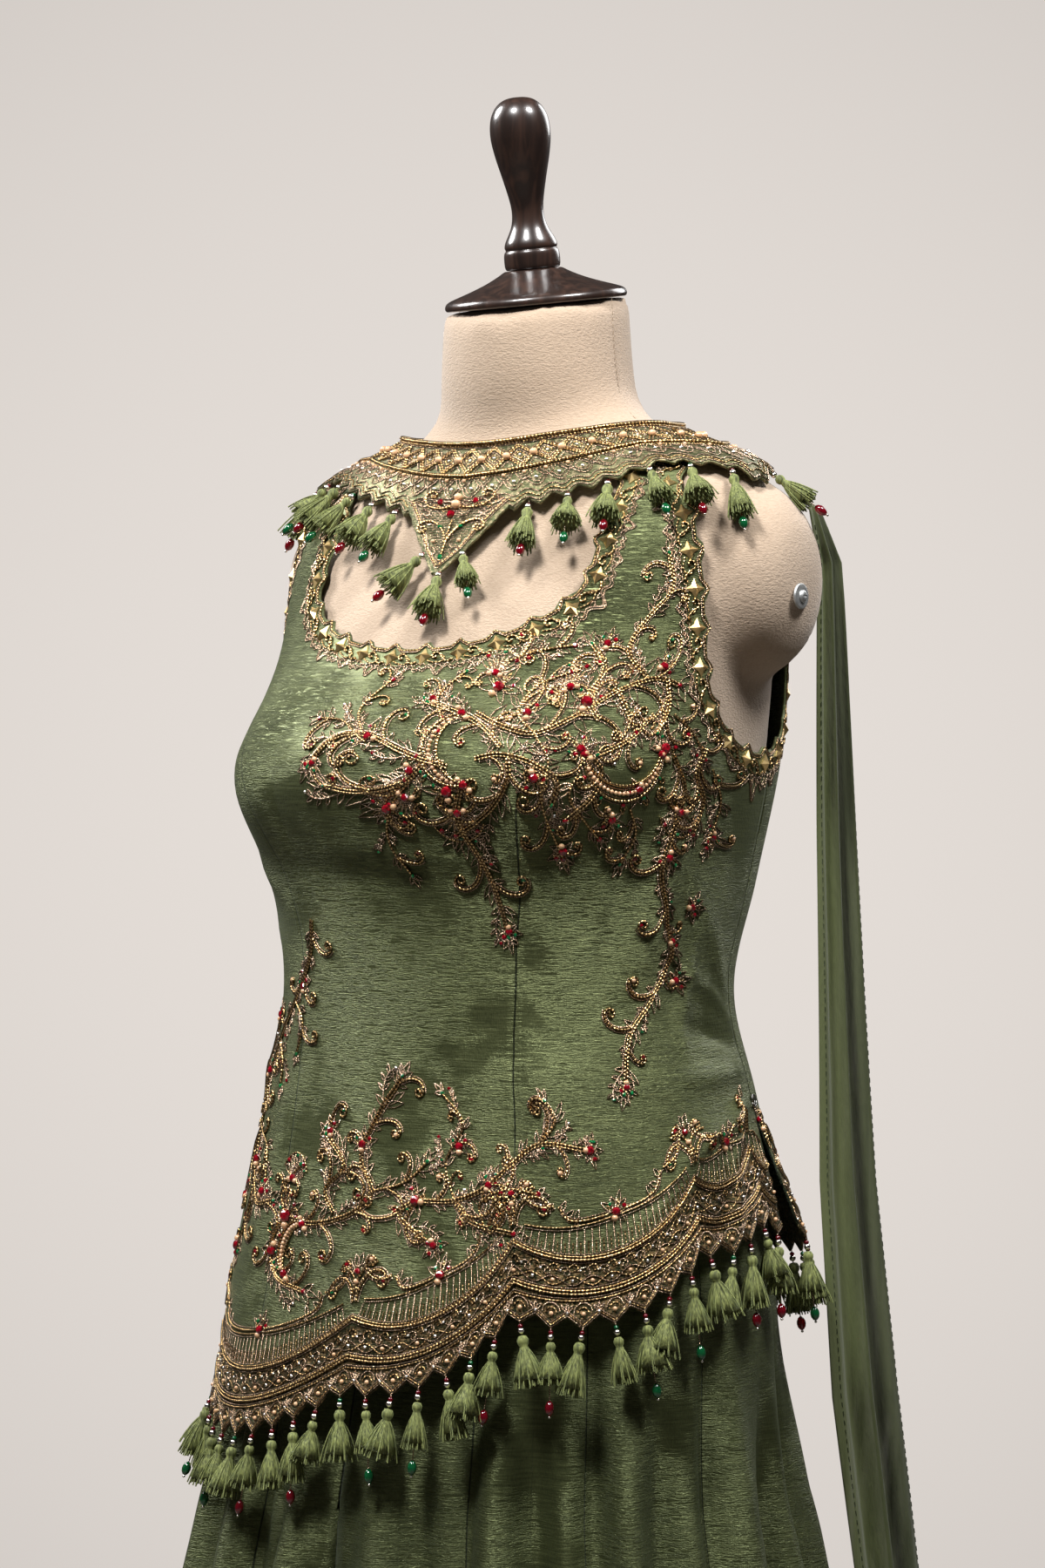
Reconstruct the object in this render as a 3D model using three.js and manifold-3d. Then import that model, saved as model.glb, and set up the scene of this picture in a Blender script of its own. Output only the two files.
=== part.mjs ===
// A sharara suit on a limbless dress form: kurti, embroidered collar with a hanging cape strip,
// and wide flared trousers. Millimetres, +Z up, the wearer faces -Y and the wearer's left is +X.
// The origin is the centre of the stand's underside.

import * as THREE from 'three';
import Module from 'manifold-3d';
import { mergeVertices } from 'three/addons/utils/BufferGeometryUtils.js';

const wasm = await Module();
wasm.setup();

// ---- driving sizes ----
const CLOTH = 2;                 // thickness of the silk walls
const BORDER = 1.3;              // embroidered border laid on the silk
const SEAM = 0.3;                // gap between neighbouring pieces
const SIDE_SEAM = rad(106);      // angle of the side and shoulder seams, from front centre
const SLIT_TOP = 1042;           // height where the left side slit starts
const COLLAR_LIFT = 5.8;         // collar's inner face above the form
const COLLAR_CLOTH = 1.6;
const FRINGE_REACH = 78;         // hem tassels with their drop beads
const FRINGE_DEPTH = 10;
const FRINGE_SWING = 8;          // the tassels' ends lie further out, over the sharara
const COLLAR_FRINGE = 9;         // depth of the collar's tassels
const CROTCH = 832;              // height of the crotch point
const LEG_SPLIT = -24;           // the legs part beside the pole, which stands in the left leg
const PANEL_EDGES = [0, 0.12, 0.25, 0.42, 0.61, 0.81, 1];   // round a leg, front centre to back centre
const HEM = 34;                  // sharara hem above the floor
const POLE_RADIUS = 14;
const BASE_RADIUS = 190;
const BASE_HEIGHT = 10;
const NECK_TILT = rad(9.5);       // the neck's top slants down to the front
const NECK_TOP = new THREE.Vector3(0, 27, 1500);
const CAP_HEIGHT = 20;            // the wooden neck cap, below its knob

// The dress form as rings round the body, from the neck down. zFront, zSide and zBack are the
// ring's heights; ease columns are the cloth's clearance from the form.
const COLUMNS = ['zFront', 'zSide', 'zBack', 'halfWidth', 'front', 'back', 'centreY', 'roundness',
  'roundBack', 'easeSide', 'easeFront', 'easeBack'];
const BODY = [
  /* neck top     */ [1505, 1510, 1515, 52.5, 52.5, 52.5, 27, 2.0, 2.0, 0, 0, 0],
  /* neck middle  */ [1456, 1462, 1470, 55.5, 54, 55, 27.5, 2.0, 2.0, 0, 0, 0],
  /* neck base    */ [1424, 1439, 1446, 61, 51, 57, 28, 1.9, 2.0, 1.6, 1.6, 1.6],
  /* collar edge  */ [1409, 1421, 1432, 82, 56, 64, 28, 1.85, 2.0, 1.7, 1.7, 1.7],
  /* shoulder in  */ [1394, 1411, 1418, 107, 62, 74, 27, 1.85, 2.0, 2.8, 2.9, 2.5],
  /* shoulder out */ [1374, 1402, 1401, 133, 70, 86, 25, 1.85, 2.1, 2.8, 3, 2.6],
  /* shoulder end */ [1349, 1387, 1378, 148, 79, 99, 21, 1.85, 2.2, 2.7, 3, 2.7],
  /* upper chest  */ [1321, 1350, 1345, 148, 90, 108, 15, 1.95, 2.5, 2.9, 3.2, 4],
  /* chest        */ [1288, 1303, 1300, 144, 101, 113, 8, 2.1, 2.9, 3.2, 3.4, 8],
  /* armpit       */ [1255, 1255, 1255, 142, 114, 118, -1, 2.3, 3.0, 4.4, 4.4, 8],
  /* bust         */ [1225, 1225, 1225, 140, 116, 118, -2, 2.4, 2.8, 5, 5, 8],
  /* under bust   */ [1170, 1170, 1170, 129, 102, 104, -1, 2.3, 2.6, 7, 9, 12],
  /* waist        */ [1110, 1110, 1110, 121, 91, 91, -4, 2.25, 2.4, 8, 14, 15],
  /* high hip     */ [1050, 1050, 1050, 134, 101, 101, -1, 2.25, 2.35, 9, 9, 9],
  /* hip          */ [960, 960, 960, 151, 113, 112, 3, 2.3, 2.3, 12, 14, 12],
  /* thigh        */ [900, 900, 900, 149, 110, 108, 3, 2.3, 2.3, 21, 29, 24],
  /* form's end   */ [848, 848, 848, 138, 100, 98, 2, 2.3, 2.3, 40, 52, 42],
].map((row) => Object.fromEntries(COLUMNS.map((name, i) => [name, row[i]])));
const LEVEL = { bust: 10, end: 16 };   // row numbers in BODY

const BUST = { height: 1222, angle: rad(37), spread: rad(24), swell: 21, above: 46, below: 44 };
const STUMP = { x: 100, y: 37, z: 1338, reach: 75, depth: 50, height: 63, roundness: 2.6 };

// Kurti cut lines, in front view (x, z) and side view (y, z)
const NECKLINE = { halfWidth: 93, straightTo: 1340, bottomFront: 1298, bottomBack: 1352 };
const NECK_BORDER = 19;
const BEYOND = 260;              // further out than any cloth: how far the cutting prisms reach
const OVERHEAD = 1560;            // higher than any cloth
const COLLAR_COVERS = 1404;      // the straps' borders end here, under the collar
const ARMHOLE = { fromX: 121, front: -20, back: 88, bottom: 1241, straightFrom: 1287, leanFrom: 1358,
  lean: 30, border: 18, inward: 0.2 };
const PRINCESS = [
  { z: 1293, x: 152 },
  { z: 1279, x: 128 },
  { z: 1250, x: 104 },
  { z: 1222, x: 93 },
  { z: 1180, x: 81 },
  { z: 1140, x: 73 },
  { z: 1090, x: 72 },
  { z: 1040, x: 75 },
  { z: 990, x: 79 },
  { z: 940, x: 85 },
  { z: 800, x: 98 },
];
// The kurti's hem slants: heights round the front, by angle from front centre
const FRONT_HEM = [
  { angle: -106, z: 872 },
  { angle: -60, z: 869 },
  { angle: -20, z: 873 },
  { angle: -2, z: 895 },
  { angle: 12, z: 925 },
  { angle: 28, z: 942 },
  { angle: 48, z: 947 },
  { angle: 60, z: 956 },
  { angle: 83, z: 979 },
  { angle: 106, z: 982 },
];
const BACK_HEM = [
  { angle: 106, z: 974 },
  { angle: 150, z: 958 },
  { angle: 200, z: 924 },
  { angle: 254, z: 872 },
];
const HEM_ROWS = [62, 31, 0];     // rows of the wall above the hem; the border covers them
const KURTI_LEVELS = [3.4, 4, 5, 6, 7, 8, 9, 10, 10.5, 11, 12, 13];
const KURTI_COLUMNS = 18;

// Collar edges, as levels on the body by angle from front centre
const COLLAR_EDGES = [
  { angle: 0, inner: 2.75, outer: 5.1 },
  { angle: 30, inner: 2.8, outer: 4.9 },
  { angle: 60, inner: 2.95, outer: 4.8 },
  { angle: 90, inner: 3.1, outer: 5.9 },
  { angle: 120, inner: 3.1, outer: 5.1 },
  { angle: 180, inner: 3.0, outer: 5.3 },
];
const SEAM_TURN = SEAM / 2 / 140;  // half a seam gap, as an angle at the side
const LEVEL_GAP = SEAM / 24;       // a seam gap, as a step of level on the shoulders
const COLLAR_POINT = { halfAngle: rad(17), tip: 6.45 };

// The cape strip's plan at each height: its front edge, its back edge and the depth of its folds
const CAPE = [
  { z: 1391, frontX: 156, frontY: 46, backX: 146, backY: 65, fold: 0 },
  { z: 1380, frontX: 160, frontY: 63, backX: 154, backY: 84, fold: 1 },
  { z: 1350, frontX: 156, frontY: 80, backX: 158, backY: 100, fold: 2 },
  { z: 1200, frontX: 154, frontY: 82, backX: 162, backY: 110, fold: 3 },
  { z: 1000, frontX: 153, frontY: 86, backX: 166, backY: 126, fold: 4 },
  { z: 880, frontX: 159, frontY: 91, backX: 171, backY: 140, fold: 5 },
  { z: 700, frontX: 170, frontY: 118, backX: 178, backY: 170, fold: 5 },
  { z: 400, frontX: 174, frontY: 190, backX: 192, backY: 250, fold: 7 },
  { z: 130, frontX: 180, frontY: 246, backX: 200, backY: 312, fold: 9 },
];
const CAPE_CLOTH = 1;

// The sharara round both legs: sizes at each height, with the depth of the hanging folds
const SHARARA = [
  { z: 1098, halfWidth: 125, front: 98.5, back: 92.5, roundness: 2.25, fold: 0, corner: 0 },
  { z: 1050, halfWidth: 138, front: 106, back: 104, roundness: 2.3, fold: 0.6, corner: 0 },
  { z: 960, halfWidth: 155, front: 115, back: 118.6, roundness: 2.3, fold: 2, corner: 0 },
  { z: 900, halfWidth: 160, front: 121, back: 122, roundness: 2.3, fold: 3, corner: 0 },
  { z: CROTCH, halfWidth: 166, front: 130, back: 130, roundness: 2.3, fold: 5, corner: 0 },
  { z: 700, halfWidth: 190, front: 156, back: 156, roundness: 2.25, fold: 11, corner: 8 },
  { z: 500, halfWidth: 228, front: 190, back: 196, roundness: 2.2, fold: 17, corner: 16 },
  { z: 260, halfWidth: 276, front: 226, back: 230, roundness: 2.15, fold: 23, corner: 22 },
  { z: HEM, halfWidth: 322, front: 258, back: 262, roundness: 2.1, fold: 28, corner: 28 },
];
const FOLD_DEPTHS = [1.0, 0.75, 1.2, 0.85, 1.1, 0.8];
const WAISTBAND = { top: 1136, bottom: 1098.3 };
const WAIST_EASE = 1.2;          // the waistband's clearance from the form

const silk = look(0x5d7048, 0.42, 0);
const zari = look(0x9a7f4c, 0.4, 0.5);
const thread = look(0x6f8250, 0.85, 0);
const chiffon = look(0x55674a, 0.7, 0);
const jersey = look(0xc9b596, 0.9, 0);
const darkWood = look(0x24150f, 0.25, 0);
const steel = look(0x9a9a98, 0.3, 1);
const paintedSteel = look(0x2a2826, 0.45, 0.6);

const group = new THREE.Group();

// ---- helpers ----
function rad(degrees) {
  return degrees * Math.PI / 180;
}

function look(color, roughness, metalness) {
  return new THREE.MeshStandardMaterial({ color, roughness, metalness });
}

function add(name, geometry, material) {
  const mesh = new THREE.Mesh(geometry, material);
  mesh.name = name;
  group.add(mesh);
  return mesh;
}

function power(value, exponent) {
  return Math.sign(value) * Math.abs(value) ** exponent;
}

// Linear reading of a short table by one of its columns
function read(table, key, at, column) {
  const rising = table[table.length - 1][key] > table[0][key];
  const rows = rising ? table : [...table].reverse();
  let i = 0;
  while (i < rows.length - 2 && at > rows[i + 1][key]) i += 1;
  const share = THREE.MathUtils.clamp((at - rows[i][key]) / (rows[i + 1][key] - rows[i][key]), 0, 1);
  return THREE.MathUtils.lerp(rows[i][column], rows[i + 1][column], share);
}

// Smooth reading of the ring table between its rows
function ringAt(rings, level) {
  const i = THREE.MathUtils.clamp(Math.floor(level), 0, rings.length - 2);
  const t = level - i;
  const before = rings[Math.max(i - 1, 0)];
  const after = rings[Math.min(i + 2, rings.length - 1)];
  const ring = {};
  for (const name of COLUMNS) {
    const slopeIn = (rings[i + 1][name] - before[name]) / 2;
    const slopeOut = (after[name] - rings[i][name]) / 2;
    ring[name] = (2 * t ** 3 - 3 * t ** 2 + 1) * rings[i][name] + (t ** 3 - 2 * t ** 2 + t) * slopeIn
      + (3 * t ** 2 - 2 * t ** 3) * rings[i + 1][name] + (t ** 3 - t ** 2) * slopeOut;
  }
  return ring;
}

// How far the bust pushes a ring point out; cloth bridges the hollow between the two sides
function bustSwell(angle, z, bridge) {
  const away = Math.abs(Math.atan2(Math.sin(angle), Math.cos(angle))) - BUST.angle;
  const across = Math.exp(-((away / BUST.spread) ** 2));
  const rise = z - BUST.height;
  const down = Math.exp(-((rise / (rise > 0 ? BUST.above : BUST.below)) ** 2));
  const filled = away < 0 ? Math.max(across, bridge) : across;
  return BUST.swell * filled * down;
}

// A point of a ringed surface, before it is moved out
function surfacePoint(rings, bridge, angle, level) {
  const ring = ringAt(rings, level);
  const side = Math.sin(angle);
  const ahead = Math.cos(angle);
  const facing = ahead > 0;
  const exponent = 2 / (facing ? ring.roundness : ring.roundBack);
  const zEnd = facing ? ring.zFront : ring.zBack;
  const z = ring.zSide + (zEnd - ring.zSide) * ahead ** 2;
  const swell = bustSwell(angle, z, bridge);
  return new THREE.Vector3(
    ring.halfWidth * power(side, exponent) + swell * 0.35 * side,
    ring.centreY - (facing ? ring.front : ring.back) * power(ahead, exponent) - swell * Math.max(ahead, 0),
    z,
  );
}

// A surface as a function of angle, level and distance out along its normal
function surface(rings, bridge) {
  const step = 0.02;
  return (angle, level, out) => {
    const point = surfacePoint(rings, bridge, angle, level);
    const across = surfacePoint(rings, bridge, angle + step, level)
      .sub(surfacePoint(rings, bridge, angle - step, level));
    const down = surfacePoint(rings, bridge, angle, Math.min(level + step, rings.length - 1))
      .sub(surfacePoint(rings, bridge, angle, Math.max(level - step, 0)));
    return point.addScaledVector(down.cross(across).normalize(), out);
  };
}

const kurtiRings = BODY.map((ring) => ({
  ...ring,
  halfWidth: ring.halfWidth + ring.easeSide,
  front: ring.front + ring.easeFront,
  back: ring.back + ring.easeBack,
}));
const onForm = surface(BODY, 0.2);
const onKurti = surface(kurtiRings, 0.72);

// The level of the kurti's surface at a height below the armpit, where its rings are flat
function levelOf(z) {
  let low = LEVEL.bust;
  let high = LEVEL.end;
  for (let i = 0; i < 30; i += 1) {
    const middle = (low + high) / 2;
    if (ringAt(kurtiRings, middle).zSide > z) low = middle;
    else high = middle;
  }
  return low;
}

// A closed wall: outer(u, v) and inner(u, v) give its two faces, u to the wearer's left, v down
function wall(columns, rows, outer, inner) {
  const positions = [];
  const index = [];
  for (const face of [outer, inner]) {
    for (let j = 0; j <= rows; j += 1) {
      for (let i = 0; i <= columns; i += 1) {
        positions.push(...face(i / columns, j / rows).toArray());
      }
    }
  }
  const at = (face, i, j) => (face * (rows + 1) + j) * (columns + 1) + i;
  const quad = (a, b, c, d) => index.push(a, b, c, a, c, d);
  for (let j = 0; j < rows; j += 1) {
    for (let i = 0; i < columns; i += 1) {
      quad(at(0, i, j), at(0, i, j + 1), at(0, i + 1, j + 1), at(0, i + 1, j));
      quad(at(1, i, j), at(1, i + 1, j), at(1, i + 1, j + 1), at(1, i, j + 1));
    }
  }
  for (let i = 0; i < columns; i += 1) {
    quad(at(0, i, 0), at(0, i + 1, 0), at(1, i + 1, 0), at(1, i, 0));
    quad(at(0, i, rows), at(1, i, rows), at(1, i + 1, rows), at(0, i + 1, rows));
  }
  for (let j = 0; j < rows; j += 1) {
    quad(at(0, 0, j), at(1, 0, j), at(1, 0, j + 1), at(0, 0, j + 1));
    quad(at(0, columns, j), at(0, columns, j + 1), at(1, columns, j + 1), at(1, columns, j));
  }
  const geometry = new THREE.BufferGeometry();
  geometry.setAttribute('position', new THREE.Float32BufferAttribute(positions, 3));
  geometry.setIndex(index);
  geometry.computeVertexNormals();
  return geometry;
}

// A closed tube of rings with flat ends, ring(j) giving its points in order round +Z
function loft(rings) {
  const count = rings[0].length;
  const positions = rings.flat().flatMap((point) => point.toArray());
  const index = [];
  for (let j = 0; j < rings.length - 1; j += 1) {
    for (let i = 0; i < count; i += 1) {
      const next = (i + 1) % count;
      const a = j * count + i;
      const b = j * count + next;
      index.push(a, b, b + count, a, b + count, a + count);
    }
  }
  for (const [j, turn] of [[0, 1], [rings.length - 1, -1]]) {
    const centre = rings[j].reduce((sum, point) => sum.add(point), new THREE.Vector3());
    positions.push(...centre.divideScalar(count).toArray());
    const hub = positions.length / 3 - 1;
    for (let i = 0; i < count; i += 1) {
      const a = j * count + i;
      const b = j * count + (i + 1) % count;
      index.push(...(turn > 0 ? [hub, b, a] : [hub, a, b]));
    }
  }
  const geometry = new THREE.BufferGeometry();
  geometry.setAttribute('position', new THREE.Float32BufferAttribute(positions, 3));
  geometry.setIndex(index);
  geometry.computeVertexNormals();
  return geometry;
}

function solid(geometry) {
  const clean = geometry.clone();
  clean.deleteAttribute('normal');
  clean.deleteAttribute('uv');
  const merged = mergeVertices(clean, 1e-4);
  return new wasm.Manifold(new wasm.Mesh({
    numProp: 3,
    vertProperties: new Float32Array(merged.attributes.position.array),
    triVerts: new Uint32Array(merged.index.array),
  }));
}

function toGeometry(manifold) {
  const mesh = manifold.getMesh();
  const geometry = new THREE.BufferGeometry();
  const positions = [];
  for (let i = 0; i < mesh.numVert; i += 1) {
    positions.push(...mesh.vertProperties.slice(i * mesh.numProp, i * mesh.numProp + 3));
  }
  geometry.setAttribute('position', new THREE.Float32BufferAttribute(positions, 3));
  geometry.setIndex([...mesh.triVerts]);
  geometry.computeVertexNormals();
  return geometry;
}

function extrude(shape, depth) {
  return new THREE.ExtrudeGeometry(shape, { depth, bevelEnabled: false, curveSegments: 8 });
}

// A prism of a front-view outline (x, z), through the depth between two y values
function frontPrism(shape, fromY, toY) {
  const geometry = extrude(shape, toY - fromY);
  geometry.rotateX(Math.PI / 2);
  geometry.translate(0, toY, 0);
  return solid(geometry);
}

// A prism of a side-view outline (y, z), from one x value to another
function sidePrism(shape, fromX, toX) {
  const geometry = extrude(shape, toX - fromX);
  geometry.applyMatrix4(new THREE.Matrix4().makeBasis(
    new THREE.Vector3(0, 1, 0), new THREE.Vector3(0, 0, 1), new THREE.Vector3(1, 0, 0)));
  geometry.translate(fromX, 0, 0);
  return solid(geometry);
}

// ---- dress form and stand ----
function formTorso() {
  const steps = 40;
  const levels = [];
  for (let level = 0; level <= LEVEL.end; level += 0.5) levels.push(level);
  const rings = levels.map((level) => Array.from({ length: steps }, (_, i) =>
    onForm(i / steps * 2 * Math.PI, level, 0)));
  let torso = solid(loft(rings.reverse()));
  for (const side of [-1, 1]) {
    torso = torso.add(solid(stump(side)));
  }
  const down = new THREE.Vector3(0, Math.sin(NECK_TILT), -Math.cos(NECK_TILT));
  return toGeometry(torso.trimByPlane(down.toArray(), down.dot(NECK_TOP)));
}

// A shoulder stump: rings of a rounded section, from inside the torso to its domed end
function stump(side) {
  const steps = 28;
  const rings = [];
  for (let turn = 0; turn <= 9; turn += 1) {
    const angle = rad(turn * 9.9);
    const reach = STUMP.x + STUMP.reach * power(Math.sin(angle), 2 / STUMP.roundness);
    const size = power(Math.cos(angle), 2 / STUMP.roundness);
    rings.push(Array.from({ length: steps }, (_, i) => {
      const around = i / steps * 2 * Math.PI * side;
      return new THREE.Vector3(side * reach, STUMP.y + STUMP.depth * size * Math.cos(around),
        STUMP.z + STUMP.height * size * Math.sin(around));
    }));
  }
  return loft(rings);
}

function lathe(profile, segments) {
  const points = profile.map(([radius, height]) => new THREE.Vector2(radius, height));
  return new THREE.LatheGeometry(points, segments).rotateX(Math.PI / 2);
}

// The turned cap on the neck follows the neck's slanted top
function neckFrame(geometry) {
  geometry.rotateX(NECK_TILT);
  geometry.translate(NECK_TOP.x, NECK_TOP.y, NECK_TOP.z + SEAM);
  return geometry;
}

function neckCap() {
  const top = CAP_HEIGHT;
  const profile = [[0, 0], [51, 0], [52.5, 2.5], [51.5, 6], [42, 9.5], [28, 14.5], [17, top], [0, top]];
  return neckFrame(lathe(profile, 40));
}

function neckKnob() {
  const bottom = CAP_HEIGHT + SEAM;
  return neckFrame(lathe([[0, bottom], [15.5, bottom], [16, 23], [15.5, 34], [13, 39], [9.4, 48], [9.6, 56],
    [11.5, 67], [14.6, 80], [17, 91], [17.6, 99], [15.6, 109], [10, 116], [0, 118]], 28));
}

function shoulderBolt(side) {
  const geometry = lathe([[0, 0], [7.2, 0], [7.2, 1.2], [3.8, 1.2], [3.4, 3], [0, 3.4]], 24);
  geometry.rotateY(side * Math.PI / 2);
  geometry.translate(side * (STUMP.x + STUMP.reach + SEAM), STUMP.y - 8, STUMP.z - 10);
  return geometry;
}

function buildForm() {
  add('form_torso', formTorso(), jersey);
  add('neck_cap_disc', neckCap(), darkWood);
  add('neck_knob', neckKnob(), darkWood);
  add('shoulder_bolt_left', shoulderBolt(1), steel);
  add('shoulder_bolt_right', shoulderBolt(-1), steel);
  const poleTop = BODY[LEVEL.end].zSide - SEAM;
  const poleFoot = BASE_HEIGHT + SEAM;
  const bore = POLE_RADIUS + SEAM;
  const flange = lathe([[bore, -16], [24, -16], [45, -4], [45, 0], [bore, 0], [bore, -16]], 32);
  add('form_flange', flange.translate(0, 0, poleTop), paintedSteel);
  add('stand_pole', lathe([[0, poleFoot], [POLE_RADIUS, poleFoot], [POLE_RADIUS, poleTop], [0, poleTop]], 24),
    paintedSteel);
  const hub = lathe([[bore, poleFoot], [32, poleFoot], [32, 14], [19, 28], [bore, 28], [bore, poleFoot]], 32);
  add('stand_hub', hub, paintedSteel);
  add('stand_base', lathe([[0, 0], [BASE_RADIUS, 0], [BASE_RADIUS, 7], [BASE_RADIUS - 4, BASE_HEIGHT],
    [0, BASE_HEIGHT]], 56), paintedSteel);
}

// ---- kurti ----
function neckline(grow, bottom) {
  const half = NECKLINE.halfWidth + grow;
  const drop = Math.max(NECKLINE.straightTo, bottom + 20) - bottom + grow;
  const shape = new THREE.Shape();
  shape.moveTo(half, OVERHEAD);
  shape.lineTo(-half, OVERHEAD);
  shape.absellipse(0, bottom - grow + drop, half, drop, Math.PI, 2 * Math.PI, false);
  shape.closePath();
  return shape;
}

function armholeShape(grow) {
  const front = ARMHOLE.front - grow;
  const back = ARMHOLE.back + grow;
  const shape = new THREE.Shape();
  shape.moveTo(back - ARMHOLE.lean, OVERHEAD);
  shape.lineTo(front + ARMHOLE.lean, OVERHEAD);
  shape.lineTo(front, ARMHOLE.leanFrom);
  shape.absellipse((front + back) / 2, ARMHOLE.straightFrom, (back - front) / 2,
    ARMHOLE.straightFrom - ARMHOLE.bottom + grow, Math.PI, 2 * Math.PI, false);
  shape.lineTo(back, ARMHOLE.leanFrom);
  shape.closePath();
  return shape;
}

// The region in front view between the two princess seams, narrowed or widened by half the seam gap
function centreRegion(grow) {
  const shape = new THREE.Shape();
  const shoulderCut = PRINCESS[0].z + 38 - grow;   // lies in the armhole, above the seam's start
  shape.moveTo(BEYOND, OVERHEAD);
  shape.lineTo(-BEYOND, OVERHEAD);
  shape.lineTo(-BEYOND, shoulderCut);
  for (const { z, x } of PRINCESS) shape.lineTo(-x - grow, z);
  for (const { z, x } of [...PRINCESS].reverse()) shape.lineTo(x + grow, z);
  shape.lineTo(BEYOND, shoulderCut);
  shape.closePath();
  return shape;
}

function hemHeight(table, angle) {
  return read(table, 'angle', THREE.MathUtils.radToDeg(angle), 'z');
}

// How far the slit's edges stand away from the side seam, as a share that grows to the hem
function slitShare(z) {
  return THREE.MathUtils.clamp((SLIT_TOP - z) / (SLIT_TOP - 972), 0, 1);
}

// A kurti wall between two angles, from above the shoulder to a slanting hem
function kurtiWall(from, to, hem, inside, outside, flare) {
  const rows = KURTI_LEVELS.length + HEM_ROWS.length - 1;
  const place = (out) => (u, v) => {
    const row = Math.round(v * rows);
    const angle = THREE.MathUtils.lerp(from, to, u);
    const up = HEM_ROWS[Math.max(row - KURTI_LEVELS.length, 0)];
    const level = KURTI_LEVELS[row] ?? levelOf(hemHeight(hem, angle) + up);
    const { turn, lift } = flare(angle, ringAt(kurtiRings, level).zSide);
    return onKurti(angle + turn, level, out + lift);
  };
  return wall(KURTI_COLUMNS, rows, place(outside), place(inside));
}

// At the left slit the front edge draws back a little and the back flap swings out
function frontFlare(angle, z) {
  const near = THREE.MathUtils.smoothstep(angle, rad(70), SIDE_SEAM);
  return { turn: -rad(4) * near * slitShare(z), lift: 3 * near * slitShare(z) };
}

function backFlare(angle, z) {
  const near = 1 - THREE.MathUtils.smoothstep(angle, SIDE_SEAM, rad(150));
  return { turn: rad(2) * near * slitShare(z), lift: 10 * near * slitShare(z) };
}

const front = { from: -SIDE_SEAM + SEAM_TURN, to: SIDE_SEAM - SEAM_TURN, hem: FRONT_HEM, flare: frontFlare };
const back = { from: SIDE_SEAM + SEAM_TURN, to: 2 * Math.PI - SIDE_SEAM - SEAM_TURN, hem: BACK_HEM,
  flare: backFlare };

function half(side, inside, outside) {
  return solid(kurtiWall(side.from, side.to, side.hem, inside, outside, side.flare));
}

function armholes(grow) {
  const shape = armholeShape(grow);
  const fromX = ARMHOLE.fromX - grow * ARMHOLE.inward;
  return [sidePrism(shape, fromX, BEYOND), sidePrism(shape, -BEYOND, -fromX)];
}

// The prisms meet over the shoulders, where the straps turn from front to back
function frontNeckPrism(grow) {
  return frontPrism(neckline(grow, NECKLINE.bottomFront), -BEYOND, 80);
}

function backNeckPrism(grow) {
  return frontPrism(neckline(grow, NECKLINE.bottomBack), 20, BEYOND);
}

function buildKurti() {
  const [leftHole, rightHole] = armholes(0);
  const frontNeck = frontNeckPrism(0);
  const backNeck = backNeckPrism(0);
  const frontCloth = half(front, 0, CLOTH).subtract(leftHole).subtract(rightHole).subtract(frontNeck);
  const backCloth = half(back, 0, CLOTH).subtract(leftHole).subtract(rightHole).subtract(backNeck);
  const centre = frontPrism(centreRegion(-SEAM / 2), -BEYOND, BEYOND);
  const beyond = frontPrism(centreRegion(SEAM / 2), -BEYOND, BEYOND);
  const sides = frontCloth.subtract(beyond);
  add('kurti_front_centre', toGeometry(frontCloth.intersect(centre)), silk);
  for (const piece of sides.decompose()) {
    const box = piece.boundingBox();
    add(box.max[0] > 0 ? 'kurti_front_left' : 'kurti_front_right', toGeometry(piece), silk);
  }
  add('kurti_back', toGeometry(backCloth), silk);
  buildBorders(leftHole, rightHole, frontNeck, backNeck);
}

// Embroidered borders lie on the silk round the neck, the armholes and the hem
function buildBorders(leftHole, rightHole, frontNeck, backNeck) {
  const inside = CLOTH + SEAM;
  const frontSkin = half(front, inside, inside + BORDER);
  const backSkin = half(back, inside, inside + BORDER);
  const hidden = underCollar();
  const lay = (name, skin, band) => add(name, toGeometry(skin.intersect(band).subtract(hidden)), zari);
  lay('kurti_neck_border', frontSkin, frontNeckPrism(NECK_BORDER).subtract(frontNeck));
  lay('kurti_back_neck_border', backSkin, backNeckPrism(NECK_BORDER).subtract(backNeck));
  const wide = armholes(ARMHOLE.border);
  for (const [side, hole, band] of [['left', leftHole, wide[0]], ['right', rightHole, wide[1]]]) {
    const ring = band.subtract(hole);
    lay(`kurti_armhole_border_${side}_front`, frontSkin, ring.subtract(frontNeckPrism(NECK_BORDER + 1)));
    lay(`kurti_armhole_border_${side}_back`, backSkin, ring.subtract(backNeckPrism(NECK_BORDER + 1)));
  }
  add('kurti_hem_border_front', hemBand(front), zari);
  add('kurti_hem_border_back', hemBand(back), zari);
  add('hem_tassels_front', hemFringe(front), thread);
  add('hem_tassels_back', hemFringe(back), thread);
}

// The room that the collar takes: its own surface, thickened both ways, and all that is higher
function underCollar() {
  const seam = rad(95);
  const lap = 0.2;
  const room = (from, to) => solid(collarWall(from, to, -5, 20, 0.05));
  const above = frontPrism(new THREE.Shape([[-BEYOND, COLLAR_COVERS], [BEYOND, COLLAR_COVERS],
    [BEYOND, OVERHEAD], [-BEYOND, OVERHEAD]].map(([x, z]) => new THREE.Vector2(x, z))), -BEYOND, BEYOND);
  return room(-seam, seam).add(room(seam - lap, 2 * Math.PI - seam + lap)).add(above);
}

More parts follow.
